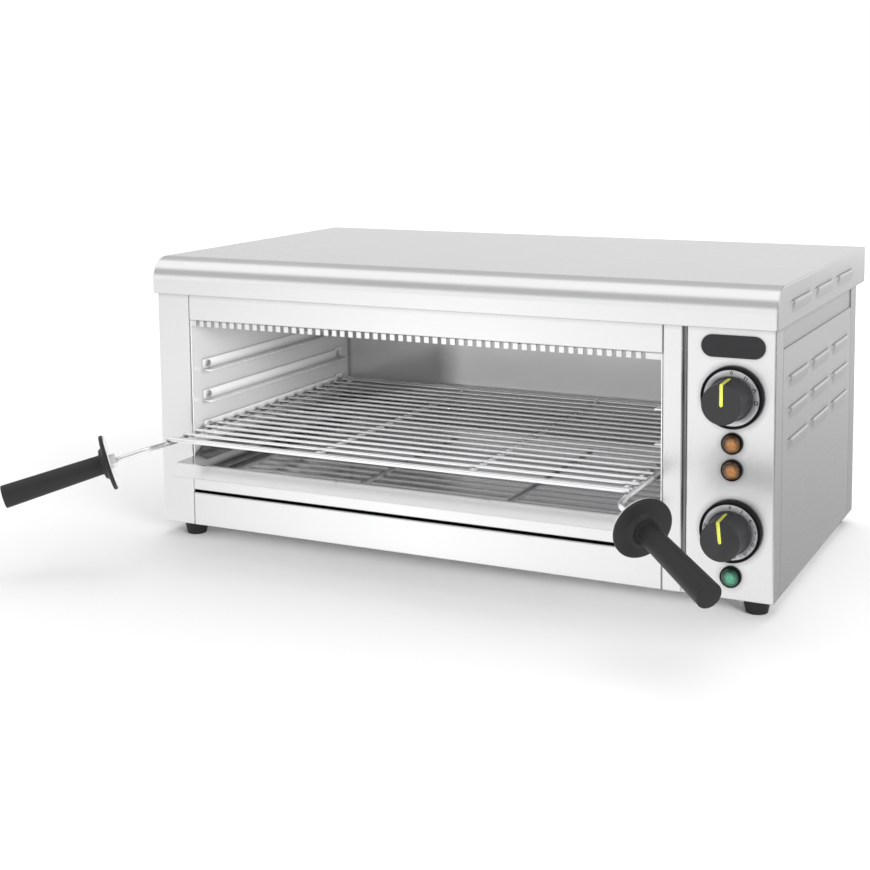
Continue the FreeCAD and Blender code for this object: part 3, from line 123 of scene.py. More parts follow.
class GrillControls(bpy.types.PropertyGroup):
    """Sizes of the knobs, dials and lamps"""
    flange_radius: length("Knob flange", "Radius of the knob's flange", 18.4)
    flange_height: length("Flange height", "Height of the knob's flange", 4.0)
    root_radius: length("Knob root", "Radius of the knob above its flange", 17.3)
    face_radius: length("Knob face", "Radius of the knob's face", 16.4)
    pointer_width: length("Pointer width", "Width of the pointer", 3.2)
    dial_rim: length("Dial rim", "Width of the dial's black rim", 2.5)
    timer_turn: degrees("Timer rest", "How far the resting timer knob stands from its mark", 6.0)
    figure_size: length("Figures", "Height of the figures on the dials", 4.2)


class GrillHandles(bpy.types.PropertyGroup):
    """Sizes of the rack's handles"""
    flange_radius: length("Flange radius", "Radius of the grip's flange and shield", 25.5)
    flange_dish: length("Flange dish", "How far the flange leans back to the grill", 2.6)
    boss_radius: length("Boss radius", "Radius of the step behind the flange", 12.5)
    root_radius: length("Grip root", "Radius of the grip at its flange", 9.0)
    end_radius: length("Grip end", "Radius of the grip at its end", 10.5)
    grip_length: length("Grip length", "Length of a grip", 95.0)


class GrillLouvres(bpy.types.PropertyGroup):
    """Sizes of the pressed louvres"""
    length: length("Length", "Length of a louvre", 70.1)
    height: length("Height", "Height of a louvre", 9.5)
    depth: length("Depth", "How far a louvre stands out", 2.5)


class GrillStudio(bpy.types.PropertyGroup):
    """The camera and the light"""
    lens: plain("Lens", "Focal length in millimetres", 62.829)
    stand: FloatVectorProperty(name="Camera place", description="Where the camera stands",
                               subtype="TRANSLATION", unit="LENGTH",
                               default=(0.5984, -1.3509, 0.4305))
    azimuth: degrees("Azimuth", "The camera's angle round the grill", 25.647)
    elevation: degrees("Elevation", "The camera's downward angle", 6.418)
    roll: degrees("Roll", "The camera's tilt", -0.467)
    aim_x: plain("Shift X", "Sideways lens shift", -0.0377)
    aim_y: plain("Shift Y", "Upward lens shift", -0.2011)
    world_light: plain("World light", "Even light from all round", 0.64, 0.0)
    floor_lift: plain("Floor lift", "Glow that makes the open floor white", 0.02, 0.0)
    key_power: watts("Key light", "Power of the soft box on the right", 72.0)
    front_power: watts("Front light", "Power of the small lamp that reaches into the cavity", 33.0)
    top_power: watts("Top light", "Power of the soft box overhead", 30.0)


# Surfaces worked out with numpy

def surface(x, y, z, closed=False):
    """Quads over rows and columns of x, y and z; the columns may close on themselves."""
    points = np.stack(np.broadcast_arrays(x, y, z), -1)
    rows, columns = points.shape[:2]
    index = np.arange(rows * columns).reshape(rows, columns)
    if closed:
        index = np.hstack([index, index[:, :1]])
    quads = np.stack([index[:-1, :-1], index[:-1, 1:], index[1:, 1:], index[1:, :-1]], -1)
    return points.reshape(-1, 3), quads.reshape(-1, 4)


def joined(parts):
    """Several surfaces as one: the point lists end to end, with the later quads counted on."""
    points = []
    quads = []
    count = 0
    for part_points, part_quads in parts:
        points.append(part_points)
        quads.append(part_quads + count)
        count += len(part_points)
    return np.vstack(points), np.vstack(quads)


def moved(part, matrix):
    """A surface with every point p turned into matrix * p."""
    points, quads = part
    grown = np.hstack([points, np.ones((len(points), 1))])
    return (grown @ np.array(matrix).T)[:, :3], quads


def eased(corners, steps=6, guard=0.00015):
    """A line of (across, along, ease) corners, each cut by a curve.

    A corner P with neighbours A and B is replaced by the quadratic curve from P + ease * (A - P)
    to P + ease * (B - P) with both directions of unit length, and a point just before and after
    the curve keeps the flat runs flat.
    """
    line = []
    count = len(corners)
    for number, (across, along, ease) in enumerate(corners):
        here = np.array((across, along))
        if ease == 0.0 or number in (0, count - 1):
            line.append(here)
            continue
        before = np.array(corners[number - 1][:2]) - here
        after = np.array(corners[number + 1][:2]) - here
        before /= np.linalg.norm(before)
        after /= np.linalg.norm(after)
        t = np.linspace(0.0, 1.0, steps)[:, None]
        start = here + before * ease
        end = here + after * ease
        line.append(start + before * guard)
        line.extend((1 - t) ** 2 * start + 2 * t * (1 - t) * here + t ** 2 * end)
        line.append(end + after * guard)
    return np.array(line)


def turned(corners, steps=96):
    """A profile of (radius, height, ease) carried round Z.

    The point is (r cos a, r sin a, h) for every profile point (r, h) and every angle a.
    """
    profile = eased(corners)
    a = np.linspace(0.0, 2 * math.pi, steps, endpoint=False)
    r = profile[:, :1]
    return surface(r * np.cos(a), r * np.sin(a), profile[:, 1:], True)


def path_sides(path):
    """The unit directions along a line of points, and those a quarter turn to the left."""
    way = np.gradient(path, axis=0)
    way /= np.linalg.norm(way, axis=1)[:, None]
    return way, np.stack([-way[:, 1], way[:, 0]], -1)


def corners_of(mesh):
    """A mesh's corner points."""
    points = np.empty(len(mesh.vertices) * 3)
    mesh.vertices.foreach_get("co", points)
    return points.reshape(-1, 3)


def stand_piece(name, mesh, material, body, replaced=()):
    """An object of a mesh, with its finish and on its body."""
    mesh.materials.clear()
    mesh.materials.append(material)
    piece = bpy.data.objects.new(name, mesh)
    bpy.context.scene.collection.objects.link(piece)
    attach(piece, body)
    if replaced:
        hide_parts(*replaced)
    return piece


def new_piece(name, part, material, body, replaced=()):
    """A smooth piece of the surface, its poles merged and its faces turned outwards."""
    points, quads = part
    mesh = bpy.data.meshes.new(name)
    mesh.from_pydata(points.tolist(), [], quads.tolist())
    work = bmesh.new()
    work.from_mesh(mesh)
    bmesh.ops.remove_doubles(work, verts=work.verts, dist=1e-6)
    bmesh.ops.dissolve_degenerate(work, edges=work.edges, dist=1e-7)
    bmesh.ops.recalc_face_normals(work, faces=work.faces)
    work.to_mesh(mesh)
    work.free()
    mesh.polygons.foreach_set("use_smooth", [True] * len(mesh.polygons))
    return stand_piece(name, mesh, material, body, replaced)


# Shader nodes, and groups for effects that several finishes share

def fill(node, values):
    """Gives a node's inputs plain values, or links them to other nodes' sockets."""
    for word, value in dict(values).items():
        socket = node.inputs[word]
        if isinstance(value, bpy.types.NodeSocket):
            node.id_data.links.new(value, socket)
        elif socket.type == "RGBA":
            socket.default_value = (*value[:3], 1.0)
        else:
            socket.default_value = value


def add_node(tree, kind, inputs=(), **settings):
    """A new shader node with its settings and its inputs."""
    node = tree.nodes.new("ShaderNode" + kind)
    for word, value in settings.items():
        setattr(node, word, value)
    fill(node, inputs)
    return node


def place_of(tree, kind="Object"):
    """The place of a point: in its object, or on its UV map."""
    return add_node(tree, "TexCoord").outputs[kind]


def noise(tree, place, scale, detail=2.0, distortion=0.0):
    """Soft noise over a place."""
    return add_node(tree, "TexNoise", {"Vector": place, "Scale": scale, "Detail": detail,
                                       "Distortion": distortion}).outputs["Fac"]


def spread(tree, source, low=0.0, high=1.0, first=0.0, last=1.0, shape="LINEAR"):
    """A value that runs from first to last, mapped to a range from low to high."""
    return add_node(tree, "MapRange", {"Value": source, "From Min": first, "From Max": last,
                                       "To Min": low, "To Max": high},
                    interpolation_type=shape).outputs["Result"]


def worked(tree, operation, *values, **settings):
    """The result of a sum on numbers and sockets."""
    return add_node(tree, "Math", enumerate(values), operation=operation, **settings).outputs[0]


def vector_worked(tree, operation, *values):
    """The number that a sum on vectors gives."""
    return add_node(tree, "VectorMath", enumerate(values), operation=operation).outputs["Value"]


def mixed(tree, source, first, second, **settings):
    """Two colours mixed by a value."""
    return add_node(tree, "Mix", {"Factor": source, "A": first, "B": second},
                    data_type="RGBA", **settings).outputs["Result"]


def dimmed(tree, source, mask, amount):
    """A colour that falls to a share of itself where a mask is whole."""
    return mixed(tree, mask, source, (amount,) * 3, blend_type="MULTIPLY")


def bump(tree, height, strength, distance, **base):
    """The normal of a bump, over an optional normal."""
    return add_node(tree, "Bump", {"Height": height, "Strength": strength,
                                   "Distance": distance, **base}).outputs["Normal"]


def new_group(name, inputs, outputs):
    """A new node group: its inputs with their first values, and outputs that are numbers."""
    tree = bpy.data.node_groups.new(name, "ShaderNodeTree")
    for word, value in inputs.items():
        kind = "NodeSocketFloat" if isinstance(value, float) else "NodeSocketVector"
        tree.interface.new_socket(word, in_out="INPUT", socket_type=kind).default_value = value
    for word in outputs:
        tree.interface.new_socket(word, in_out="OUTPUT", socket_type="NodeSocketFloat")
    return tree, tree.nodes.new("NodeGroupInput").outputs, tree.nodes.new("NodeGroupOutput")


def brushed_group(name):
    """Long fine scratches along one axis, with wide soft patches over them."""
    tree, given, result = new_group(name, {"Stretch": (1.0, 1.0, 1.0), "Low": 0.2, "High": 0.3},
                                    ("Roughness", "Height", "Tone"))
    place = place_of(tree)
    drawn_out = add_node(tree, "Mapping", {"Vector": place, "Scale": given["Stretch"]})
    grain = noise(tree, drawn_out.outputs["Vector"], 1.0, 3.0)
    patches = noise(tree, place, 9.0)
    blend = worked(tree, "MULTIPLY_ADD", grain, 0.6, spread(tree, patches, 0.0, 0.4))
    fill(result, {"Roughness": spread(tree, blend, given["Low"], given["High"]),
                  "Height": grain, "Tone": patches})
    return tree


def short_of_one(tree, value, gain):
    """The clamped mask gain * (1 - value)."""
    return worked(tree, "MULTIPLY", worked(tree, "SUBTRACT", 1.0, value), gain, use_clamp=True)


def edge_wear_and_shade_group(name):
    """A mask that rises where a rounded normal leaves the true one, along edges: worn edges on
    plastic, and painted shade on the edges of sheet metal.
    """
    tree, given, result = new_group(name, {"Width": 0.0006, "Gain": 3.0}, ["Mask"])
    rounded = add_node(tree, "Bevel", {"Radius": given["Width"]}, samples=4)
    true = add_node(tree, "NewGeometry")
    likeness = vector_worked(tree, "DOT_PRODUCT", rounded.outputs["Normal"],
                             true.outputs["Normal"])
    fill(result, {"Mask": short_of_one(tree, likeness, given["Gain"])})
    return tree


def crevice_group(name):
    """A mask that rises in corners, laps and gaps, where little of the sky is open."""
    tree, given, result = new_group(name, {"Reach": 0.006, "Gain": 1.0}, ["Mask"])
    sky = add_node(tree, "AmbientOcclusion", {"Distance": given["Reach"]}, samples=6)
    fill(result, {"Mask": short_of_one(tree, sky.outputs["AO"], given["Gain"])})
    return tree


def moulded_group(name):
    """The fine pebbled skin of moulded plastic and rubber."""
    tree, given, result = new_group(name, {"Scale": 1500.0, "Low": 0.4, "High": 0.55},
                                    ("Roughness", "Height", "Tone"))
    place = place_of(tree)
    pebble = add_node(tree, "TexVoronoi", {"Vector": place, "Scale": given["Scale"]},
                      feature="SMOOTH_F1")
    cloud = noise(tree, place, 60.0, 4.0)
    fill(result, {"Roughness": spread(tree, cloud, given["Low"], given["High"]),
                  "Height": pebble.outputs["Distance"], "Tone": cloud})
    return tree


GROUPS = {
    "brushed_grain": brushed_group,
    "edge_wear": edge_wear_and_shade_group,
    "crevice_shade": crevice_group,
    "moulded_skin": moulded_group,
}


def place_group(tree, name, **values):
    """A shared group placed in a material with its own values, made when first needed."""
    group = bpy.data.node_groups.get(name) or GROUPS[name](name)
    return add_node(tree, "Group", values, node_tree=group).outputs


# Finishes

ALONG_X = (6.0, 3200.0, 3200.0)
ALONG_Y = (3200.0, 6.0, 3200.0)
ALONG_Z = (3200.0, 3200.0, 6.0)
EVEN = (250.0, 250.0, 250.0)
# Share of its colour that a sheet keeps in painted shade, in its laps, corners and gaps
PAINTED_LAP_SHADE_TONE = 0.3


def new_material(name):
    """A material with its tree and its shader."""
    material = bpy.data.materials.new(name)
    material.use_nodes = True
    return material, material.node_tree, material.node_tree.nodes["Principled BSDF"]


def scaled(tone, amount):
    """A colour made lighter or darker."""
    return tuple(min(1.0, part * amount) for part in tone)


def with_painted_lap_shade(tree, look):
    """A colour with painted shade: it darkens where sheets lap and meet, in corners and in gaps."""
    lap_shade = place_group(tree, "crevice_shade", Reach=0.006, Gain=1.3)
    return dimmed(tree, look, lap_shade["Mask"], PAINTED_LAP_SHADE_TONE)


def sheet_metal(name, tone, rough, stretch, swing=0.03, rounding=0.0007, metal=1.0, edge=1.0,
                smear=0.0):
    """Sheet metal: grain along one axis, soft patches and rounded edges, with painted shade in its
    laps and, where edge is below 1, painted shade along its edges.
    """
    material, tree, shader = new_material(name)
    grain = place_group(tree, "brushed_grain", Stretch=stretch, Low=max(0.02, rough - swing),
                        High=rough + swing)
    look = with_painted_lap_shade(tree, mixed(tree, grain["Tone"], scaled(tone, 0.97), scaled(tone, 1.02)))
    # Painted shade: where edge is below 1, the colour darkens along the edges to that share
    if edge < 1.0:
        edges = place_group(tree, "edge_wear", Width=0.0009, Gain=14.0)
        look = dimmed(tree, look, edges["Mask"], edge)
    soft_edges = add_node(tree, "Bevel", {"Radius": rounding}, samples=4)
    fill(shader, {"Base Color": look, "Metallic": metal, "Anisotropic": smear,
                  "Roughness": grain["Roughness"],
                  "Normal": bump(tree, grain["Height"], 0.04, 0.000004,
                                 Normal=soft_edges.outputs["Normal"])})
    return material


def skinned(name, tone, scale, rough, swing, relief, metal=0.0, wear=0.0, shine=0.5):
    """A matt or moulded body with a pebbled skin, lighter where its edges wear.

    rough is the range of its roughness, swing that of its tone, and relief the strength and
    distance of its bump.
    """
    material, tree, shader = new_material(name)
    skin = place_group(tree, "moulded_skin", Scale=scale, Low=rough[0], High=rough[1])
    look = mixed(tree, skin["Tone"], scaled(tone, swing[0]), scaled(tone, swing[1]))
    if wear:
        edges = place_group(tree, "edge_wear", Width=0.0006, Gain=wear)
        look = mixed(tree, edges["Mask"], look, scaled(tone, 2.2))
    fill(shader, {"Base Color": look, "Metallic": metal, "Specular IOR Level": shine,
                  "Roughness": skin["Roughness"]})
    if relief:
        fill(shader, {"Normal": bump(tree, skin["Height"], *relief)})
    return material


def moulded(name, tone, rough=(0.38, 0.5), scale=1500.0, wear=1.6, shine=0.3):
    """Moulded plastic or rubber."""
    return skinned(name, tone, scale, rough, (0.85, 1.15), (0.2, 0.00003), 0.0, wear, shine)


def fibre(name, tone):
    """Ceramic or fibre: a matt body with a fine uneven surface."""
    return skinned(name, tone, 700.0, (0.7, 0.9), (0.9, 1.05), (0.4, 0.0001))


def dial_metal(name, tone):
    """Silver foil of a dial's ring."""
    return skinned(name, tone, 2500.0, (0.34, 0.42), (0.94, 1.06), (0.15, 0.00002), 0.4)


def ink(name, tone):
    """Printed ink, a little uneven."""
    return skinned(name, tone, 3000.0, (0.45, 0.6), (0.8, 1.2), None)


def zinc_sheet(name, tone):
    """Galvanised sheet with its faint spangle of crystals, and painted shade in its laps."""
    material, tree, shader = new_material(name)
    crystals = add_node(tree, "TexVoronoi", {"Vector": place_of(tree), "Scale": 160.0})
    part = add_node(tree, "SeparateColor", {"Color": crystals.outputs["Color"]}).outputs
    look = mixed(tree, part["Red"], scaled(tone, 0.985), scaled(tone, 1.015))
    fill(shader, {"Base Color": with_painted_lap_shade(tree, look), "Metallic": 1.0,
                  "Roughness": spread(tree, part["Green"], 0.28, 0.34)})
    return material


def sheath_metal(name, tone):
    """Oxidised heating tube with lighter and browner patches."""
    material, tree, shader = new_material(name)
    cloud = noise(tree, place_of(tree), 70.0, 6.0)
    fill(shader, {"Base Color": mixed(tree, cloud, scaled(tone, 0.7), scaled(tone, 1.7)),
                  "Metallic": 0.6, "Roughness": spread(tree, cloud, 0.45, 0.7),
                  "Normal": bump(tree, cloud, 0.3, 0.0001)})
    return material


def lamp_glass(name, tone):
    """A lamp's coloured dome with a painted glow: mottled light painted into its colour in the
    middle, falling to painted shade, nearly black, at its rim.

    The dome's own UV map has its middle at (0.5, 0.5) and its rim at a distance of 0.5.
    """
    material, tree, shader = new_material(name)
    seen = place_of(tree, "UV")
    # Painted glow: the lamp's light and its dark rim are painted into the base colour
    painted_glow_middle = (0.54, 0.47, 0.0)
    distance = vector_worked(tree, "DISTANCE", seen, painted_glow_middle)
    painted_glow_fall = spread(tree, distance, 0.0, 1.0, 0.1, 0.44, "SMOOTHSTEP")
    glow_mottle = noise(tree, seen, 9.0, 1.0, 1.5)
    glow = mixed(tree, glow_mottle, scaled(tone, 0.2), scaled(tone, 2.2))
    fill(shader, {"Base Color": mixed(tree, painted_glow_fall, glow, scaled(tone, 0.12)),
                  "Roughness": spread(tree, noise(tree, place_of(tree), 300.0), 0.08, 0.16),
                  "Coat Weight": 0.6, "Coat Roughness": 0.05})
    return material


def tray_metal(name, metal):
    """Steel of the drip tray: painted shade on its floor, in a darker tone, and painted light on its
    lip below, in the side walls' lighter colour.
    """
    # Painted shade: the tray's floor takes the cavity steel darkened to 0.68
    material = sheet_metal(name, scaled(metal.cavity_colour, 0.68), metal.cavity_roughness, EVEN)
    tree = material.node_tree
    shader = tree.nodes["Principled BSDF"]
    look = shader.inputs["Base Color"].links[0].from_socket
    tray_floor = 81.3 * MM
    lip_roughness = 0.25
    part = add_node(tree, "SeparateXYZ", {"Vector": place_of(tree)})
    # Painted light: below the floor's level the lip takes the side walls' lighter colour
    low = spread(tree, part.outputs["Z"], 0.0, 1.0, tray_floor - 0.4 * MM, tray_floor - 1.6 * MM)
    fill(shader, {"Base Color": mixed(tree, low, look, metal.wall_colour),
                  "Roughness": spread(tree, low, metal.cavity_roughness, lip_roughness)})
    return material


def back_metal(name, metal):
    """Brushed steel of the cavity's back: its level grain draws reflections out upright."""
    material = sheet_metal(name, metal.cavity_colour, 0.14, ALONG_X, smear=0.85, swing=0.02,
                           metal=0.45)
    tree = material.node_tree
    grain_way = add_node(tree, "Tangent", direction_type="RADIAL", axis="Z")
    fill(tree.nodes["Principled BSDF"], {"Anisotropic Rotation": 0.25,
                                         "Tangent": grain_way.outputs["Tangent"]})
    return material


def finish_of(name, build, *values, **more):
    """A finish made once and found again afterwards, apart from the CAD model's own ones."""
    name = "grill_" + name
    return bpy.data.materials.get(name) or build(name, *values, **more)


def give(material, *names):
    """Puts a finish on the slots of CAD nodes."""
    for name in names:
        node = nodes[name]
        if not node.material_slots:
            node.data.materials.append(material)
        for slot in node.material_slots:
            slot.material = material


def outer_steel(name, stretch, amount=1.0):
    """Brushed steel of the casing, with its grain along one axis and painted shade along its edges;
    amount scales its colour.
    """
    metal = bpy.context.scene.grill_metal
    return finish_of(name, sheet_metal, scaled(metal.outer_colour, amount),
                     metal.outer_roughness, stretch, edge=0.45, swing=0.015)


def chrome():
    """Chromed wire and pressings."""
    metal = bpy.context.scene.grill_metal
    return finish_of("chrome", sheet_metal, metal.chrome_colour, metal.chrome_roughness, EVEN,
                     swing=0.04, rounding=0.0003, metal=0.75)


def black_plastic():
    """Plastic of knobs, dials and bezels."""
    return finish_of("black_plastic", moulded, bpy.context.scene.grill_plastic.black_colour,
                     wear=0.2, shine=0.05)


class GRILL_OT_casing(bpy.types.Operator):
    """Brushed steel on the casing's sheets"""
    bl_idname = "grill.casing"
    bl_label = "Casing"

    def execute(self, context):
        give(outer_steel("steel_along_x", ALONG_X), "top_cover", "front_fascia",
             "lower_front_panel", "cavity_floor")
        give(outer_steel("steel_along_z", ALONG_Z), "left_column", "right_column",
             "control_panel")
        give(outer_steel("steel_along_y", ALONG_Y), "left_side_panel", "right_side_panel")
        give(finish_of("zinc", zinc_sheet, context.scene.grill_metal.zinc_colour),
             "left_frame_wall", "right_frame_wall", "back_panel", "base_pan")
        return {"FINISHED"}


class GRILL_OT_cavity(bpy.types.Operator):
    """Finishes of the cavity, its elements and its tray"""
    bl_idname = "grill.cavity"
    bl_label = "Cavity"

    def execute(self, context):
        metal = context.scene.grill_metal
        give(finish_of("cavity_steel", sheet_metal, metal.cavity_colour, metal.cavity_roughness,
                       EVEN, metal=0.85), "reflector")
        give(finish_of("tray_steel", tray_metal, metal), "drip_tray")
        give(finish_of("back_steel", back_metal, metal), "cavity_back_wall")
        give(finish_of("guard_steel", sheet_metal, scaled(metal.wall_colour, 0.98), 0.16, EVEN),
             "heater_guard")
        give(finish_of("satin_steel", sheet_metal, metal.wall_colour, 0.24, ALONG_Y,
                       metal=metal.wall_metal), "cavity_left_wall", "cavity_right_wall")
        give(finish_of("rail_steel", sheet_metal, metal.wall_colour, 0.3, ALONG_Y, metal=0.1),
             "left_rack_rails", "right_rack_rails")
        give(finish_of("oxidised_tube", sheath_metal, metal.sheath_colour),
             "front_heating_element", "back_heating_element", "element_brackets")
        give(finish_of("ceramic", fibre, (0.8, 0.78, 0.72)), "element_collars")
        give(finish_of("blanket", fibre, (0.72, 0.70, 0.66)), "insulation_blanket")
        return {"FINISHED"}


class GRILL_OT_rack(bpy.types.Operator):
    """Chrome on the wire rack, and bearers whose ends rise into the end rods"""
    bl_idname = "grill.rack"
    bl_label = "Wire rack"

    def execute(self, context):
        give(chrome(), "rack_left_rod", "rack_right_rod", "rack_bearers", "rack_end_rods",
             "rack_wires", "left_handle_nut", "right_handle_nut")
        low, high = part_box("rack_bearers")
        radius = (high.z - low.z) / 2
        half = (high.x - low.x) / 2 - radius
        middle = (high.x + low.x) / 2
        inner = 77 * MM
        tubes = [bearer(middle + across, radius) for across in (-half, -inner, inner, half)]
        bright = finish_of("bright_wire", sheet_metal, context.scene.grill_metal.chrome_colour,
                           0.2, EVEN, metal=0.2)
        new_piece("bent_bearers", joined(tubes), bright, "rack",
                  ["rack_bearers"])
        return {"FINISHED"}


def bearer(x, radius):
    """A wire under the rack whose two ends rise into the end rods.

    The path runs level along Y and slopes up to both rods. About each point of it stands the
    circle radius * (cos a * X + sin a * N), with N square to the path in its plane.
    """
    low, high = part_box("rack_bearers")
    end_low, end_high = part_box("rack_end_rods")
    level = (low.z + high.z) / 2
    rise = (end_low.z + end_high.z) / 2
    front = end_low.y + radius
    back = end_high.y - radius
    slope = 14.0 * MM
    path = eased([
        (front, rise, 0.0),
        (front + slope, level, 6.0 * MM),
        (back - slope, level, 6.0 * MM),
        (back, rise, 0.0),
    ], 8)
    square = path_sides(path)[1]
    a = np.linspace(0.0, 2 * math.pi, 20, endpoint=False)
    out = radius * np.sin(a)
    return surface(x + radius * np.cos(a), path[:, :1] + square[:, :1] * out,
                   path[:, 1:] + square[:, 1:] * out, True)


class GRILL_OT_fittings(bpy.types.Operator):
    """Finishes of the screws, gland, switches and other small fittings"""
    bl_idname = "grill.fittings"
    bl_label = "Small fittings"

    def execute(self, context):
        zinc = scaled(context.scene.grill_metal.zinc_colour, 1.2)
        give(finish_of("plated_steel", sheet_metal, zinc, 0.25, EVEN), "casing_screws",
             "foot_screws", "element_terminals", "power_shaft", "timer_shaft")
        give(black_plastic(), "power_switch", "timer", "cable_gland", "gland_locknut",
             "lamp_barrels")
        give(finish_of("block_ceramic", fibre, (0.78, 0.76, 0.7)), "terminal_block")
        return {"FINISHED"}


# Handles

def upright(origin, way):
    """The matrix that stands Z along a direction at a place."""
    turn = Vector((0, 0, 1)).rotation_difference(Vector(way)).to_matrix().to_4x4()
    return Matrix.Translation(Vector(origin)) @ turn


def handle_stand(side, sizes):
    """Where a handle stands: its flange's back on the shield, Z running to the grip's end.

    Its axis is the first right singular vector of the solid grip's corners less their mean,
    pointed away from the grill.
    """
    points = np.unique(corners_of(nodes[side + "_handle_grip"].data).round(6), axis=0)
    way = np.linalg.svd(points - points.mean(0), full_matrices=False)[2][0]
    if way[1] > 0:
        way = -way
    along = points @ way
    end_face = 0.4 * MM
    tip = points[along > along.max() - end_face].mean(0)
    return upright(tip - way * sizes.grip_length, way)


ROD_HOLE = 2.6 * MM


def grip_profile(sizes):
    """The grip's half section, from the rod's hole over the flange and boss to its end."""
    lean = sizes.flange_dish
    boss = sizes.boss_radius
    return [
        (ROD_HOLE, 0.0, 0.0),
        (boss, 0.0, 0.0),
        (sizes.flange_radius - 0.8 * MM, -lean, 0.0),
        (sizes.flange_radius, -lean + 0.5 * MM, 0.5 * MM),
        (sizes.flange_radius, 0.7 * MM, 1.1 * MM),
        (sizes.flange_radius - 2.6 * MM, 1.2 * MM, 1.0 * MM),
        (boss + 2.4 * MM, 1.9 * MM, 1.0 * MM),
        (boss + 0.6 * MM, 4.9 * MM, 1.3 * MM),
        (boss - 1.9 * MM, 5.1 * MM, 0.9 * MM),
        (sizes.root_radius + 0.5 * MM, 4.6 * MM, 0.7 * MM),
        (sizes.root_radius, 7.0 * MM, 0.9 * MM),
        (sizes.end_radius, sizes.grip_length - 0.1 * MM, 0.7 * MM),
        (sizes.end_radius - 1.6 * MM, sizes.grip_length, 0.0),
        (0.0, sizes.grip_length, 0.0),
    ]


def shield_profile(sizes):
    """The shield's half section: a dished disc with a rolled edge, on the grip's near face."""
    lean = sizes.flange_dish
    radius = sizes.flange_radius - 0.6 * MM
    gap = 0.02 * MM
    thick = 1.3 * MM
    return [
        (ROD_HOLE, -gap, 0.0),
        (sizes.boss_radius, -gap, 0.0),
        (radius, -lean - gap, 0.0),
        (radius, -lean - thick, 0.5 * MM),
        (radius - 1.6 * MM, -lean - thick, 0.4 * MM),
        (sizes.boss_radius, -thick, 2.0 * MM),
        (ROD_HOLE, -thick, 0.0),
        (ROD_HOLE, -gap, 0.0),
    ]


class GRILL_OT_handles(bpy.types.Operator):
    """Grips with a flange and chromed shields on the ends of the rack's rods"""
    bl_idname = "grill.handles"
    bl_label = "Handles"

    def execute(self, context):
        sizes = context.scene.grill_handles
        grip_finish = finish_of("grip_plastic", moulded,
                                context.scene.grill_plastic.grip_colour, rough=(0.42, 0.56),
                                scale=900.0, shine=0.35)
        for side in ("left", "right"):
            stand = handle_stand(side, sizes)
            new_piece(side + "_grip", moved(turned(grip_profile(sizes)), stand), grip_finish,
                      "rack", [side + "_handle_grip"])
            new_piece(side + "_shield", moved(turned(shield_profile(sizes)), stand), chrome(),
                      "rack", [side + "_handle_shield"])
        return {"FINISHED"}


# Knobs and dials

def facing_front(x, y, z, turn=0.0):
    """Lays a turned piece down at a place, Z to the front, turned against the clock."""
    lie = Matrix.Rotation(math.radians(90.0), 4, "X")
    return Matrix.Translation((x, y, z)) @ lie @ Matrix.Rotation(turn, 4, "Z")


def knob_profile(sizes, height):
    """The knob's half section: flange, tapered side, crisp edge and flat face."""
    shaft_hole = 3.1 * MM
    return [
        (shaft_hole, 0.0, 0.0),
        (sizes.flange_radius - 0.4 * MM, 0.0, 0.0),
        (sizes.flange_radius, 0.4 * MM, 0.3 * MM),
        (sizes.flange_radius, sizes.flange_height - 0.2 * MM, 0.7 * MM),
        (sizes.root_radius + 0.3 * MM, sizes.flange_height + 0.3 * MM, 0.4 * MM),
        (sizes.root_radius - 0.1 * MM, sizes.flange_height + 1.6 * MM, 0.7 * MM),
        (sizes.face_radius, height, 0.7 * MM),
        (sizes.face_radius - 2.0 * MM, height, 0.0),
        (0.0, height, 0.0),
    ]


def resampled(path, step):
    """The same line with points a step apart, by linear steps along its length."""
    run = np.concatenate([[0.0], np.cumsum(np.linalg.norm(np.diff(path, axis=0), axis=1))])
    even = np.linspace(0.0, run[-1], int(run[-1] / step) + 1)
    return np.stack([np.interp(even, run, path[:, 0]), np.interp(even, run, path[:, 1])], -1), even


def pointer_strip(sizes, height):
    """A low ridge from the face's middle up over the edge and down the knob's side.

    The path is the knob's own outline in the plane x = 0. At a run r along it the ridge is
    half * (1 - (1 - r / half)^2)^(1/2) wide to each side up to r = half, and half beyond, and
    across it the point lies lift * (1 - s^4) off the surface, with s from -1 to 1.
    """
    half = sizes.pointer_width / 2
    corners = [
        (-half, height, 0.0),
        (sizes.face_radius + 0.1 * MM, height, 1.2 * MM),
        (sizes.root_radius - 0.1 * MM, sizes.flange_height + 2.0 * MM, 0.0),
    ]
    path, run = resampled(eased(corners, 8, 0.0001), 0.3 * MM)
    out = path_sides(path)[1]
    s = np.linspace(-1.0, 1.0, 13)
    width = half * np.sqrt(np.clip(1 - np.clip(1 - run / half, 0, 1) ** 2, 0.01, 1))
    ridge = 0.45 * MM
    sunk = 0.15 * MM
    lift = ridge * (1 - s ** 4) - sunk
    return surface(width[:, None] * s, path[:, :1] + out[:, :1] * lift,
                   path[:, 1:] + out[:, 1:] * lift)


class GRILL_OT_knobs(bpy.types.Operator):
    """Knobs with a flange and a bright pointer that bends over the edge"""
    bl_idname = "grill.knobs"
    bl_label = "Knobs"

    def execute(self, context):
        sizes = context.scene.grill_controls
        plastic = context.scene.grill_plastic
        knob_finish = finish_of("knob_plastic", moulded, scaled(plastic.black_colour, 2.6),
                                wear=0.6, shine=0.5)
        pointer_finish = finish_of("pointer_paint", ink, plastic.pointer_colour)
        for word, turn in (("power", 0.0), ("timer", sizes.timer_turn)):
            body = word + "_knob"
            low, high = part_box(body)
            middle = (Vector(low) + Vector(high)) / 2
            height = high.y - low.y
            stand = facing_front(middle.x, high.y, middle.z, turn)
            new_piece(word + "_knob_body", moved(turned(knob_profile(sizes, height), 128), stand),
                      knob_finish, body, [word + "_knob"])
            new_piece(word + "_pointer", moved(pointer_strip(sizes, height), stand),
                      pointer_finish, body, [word + "_knob_pointer"])
        return {"FINISHED"}


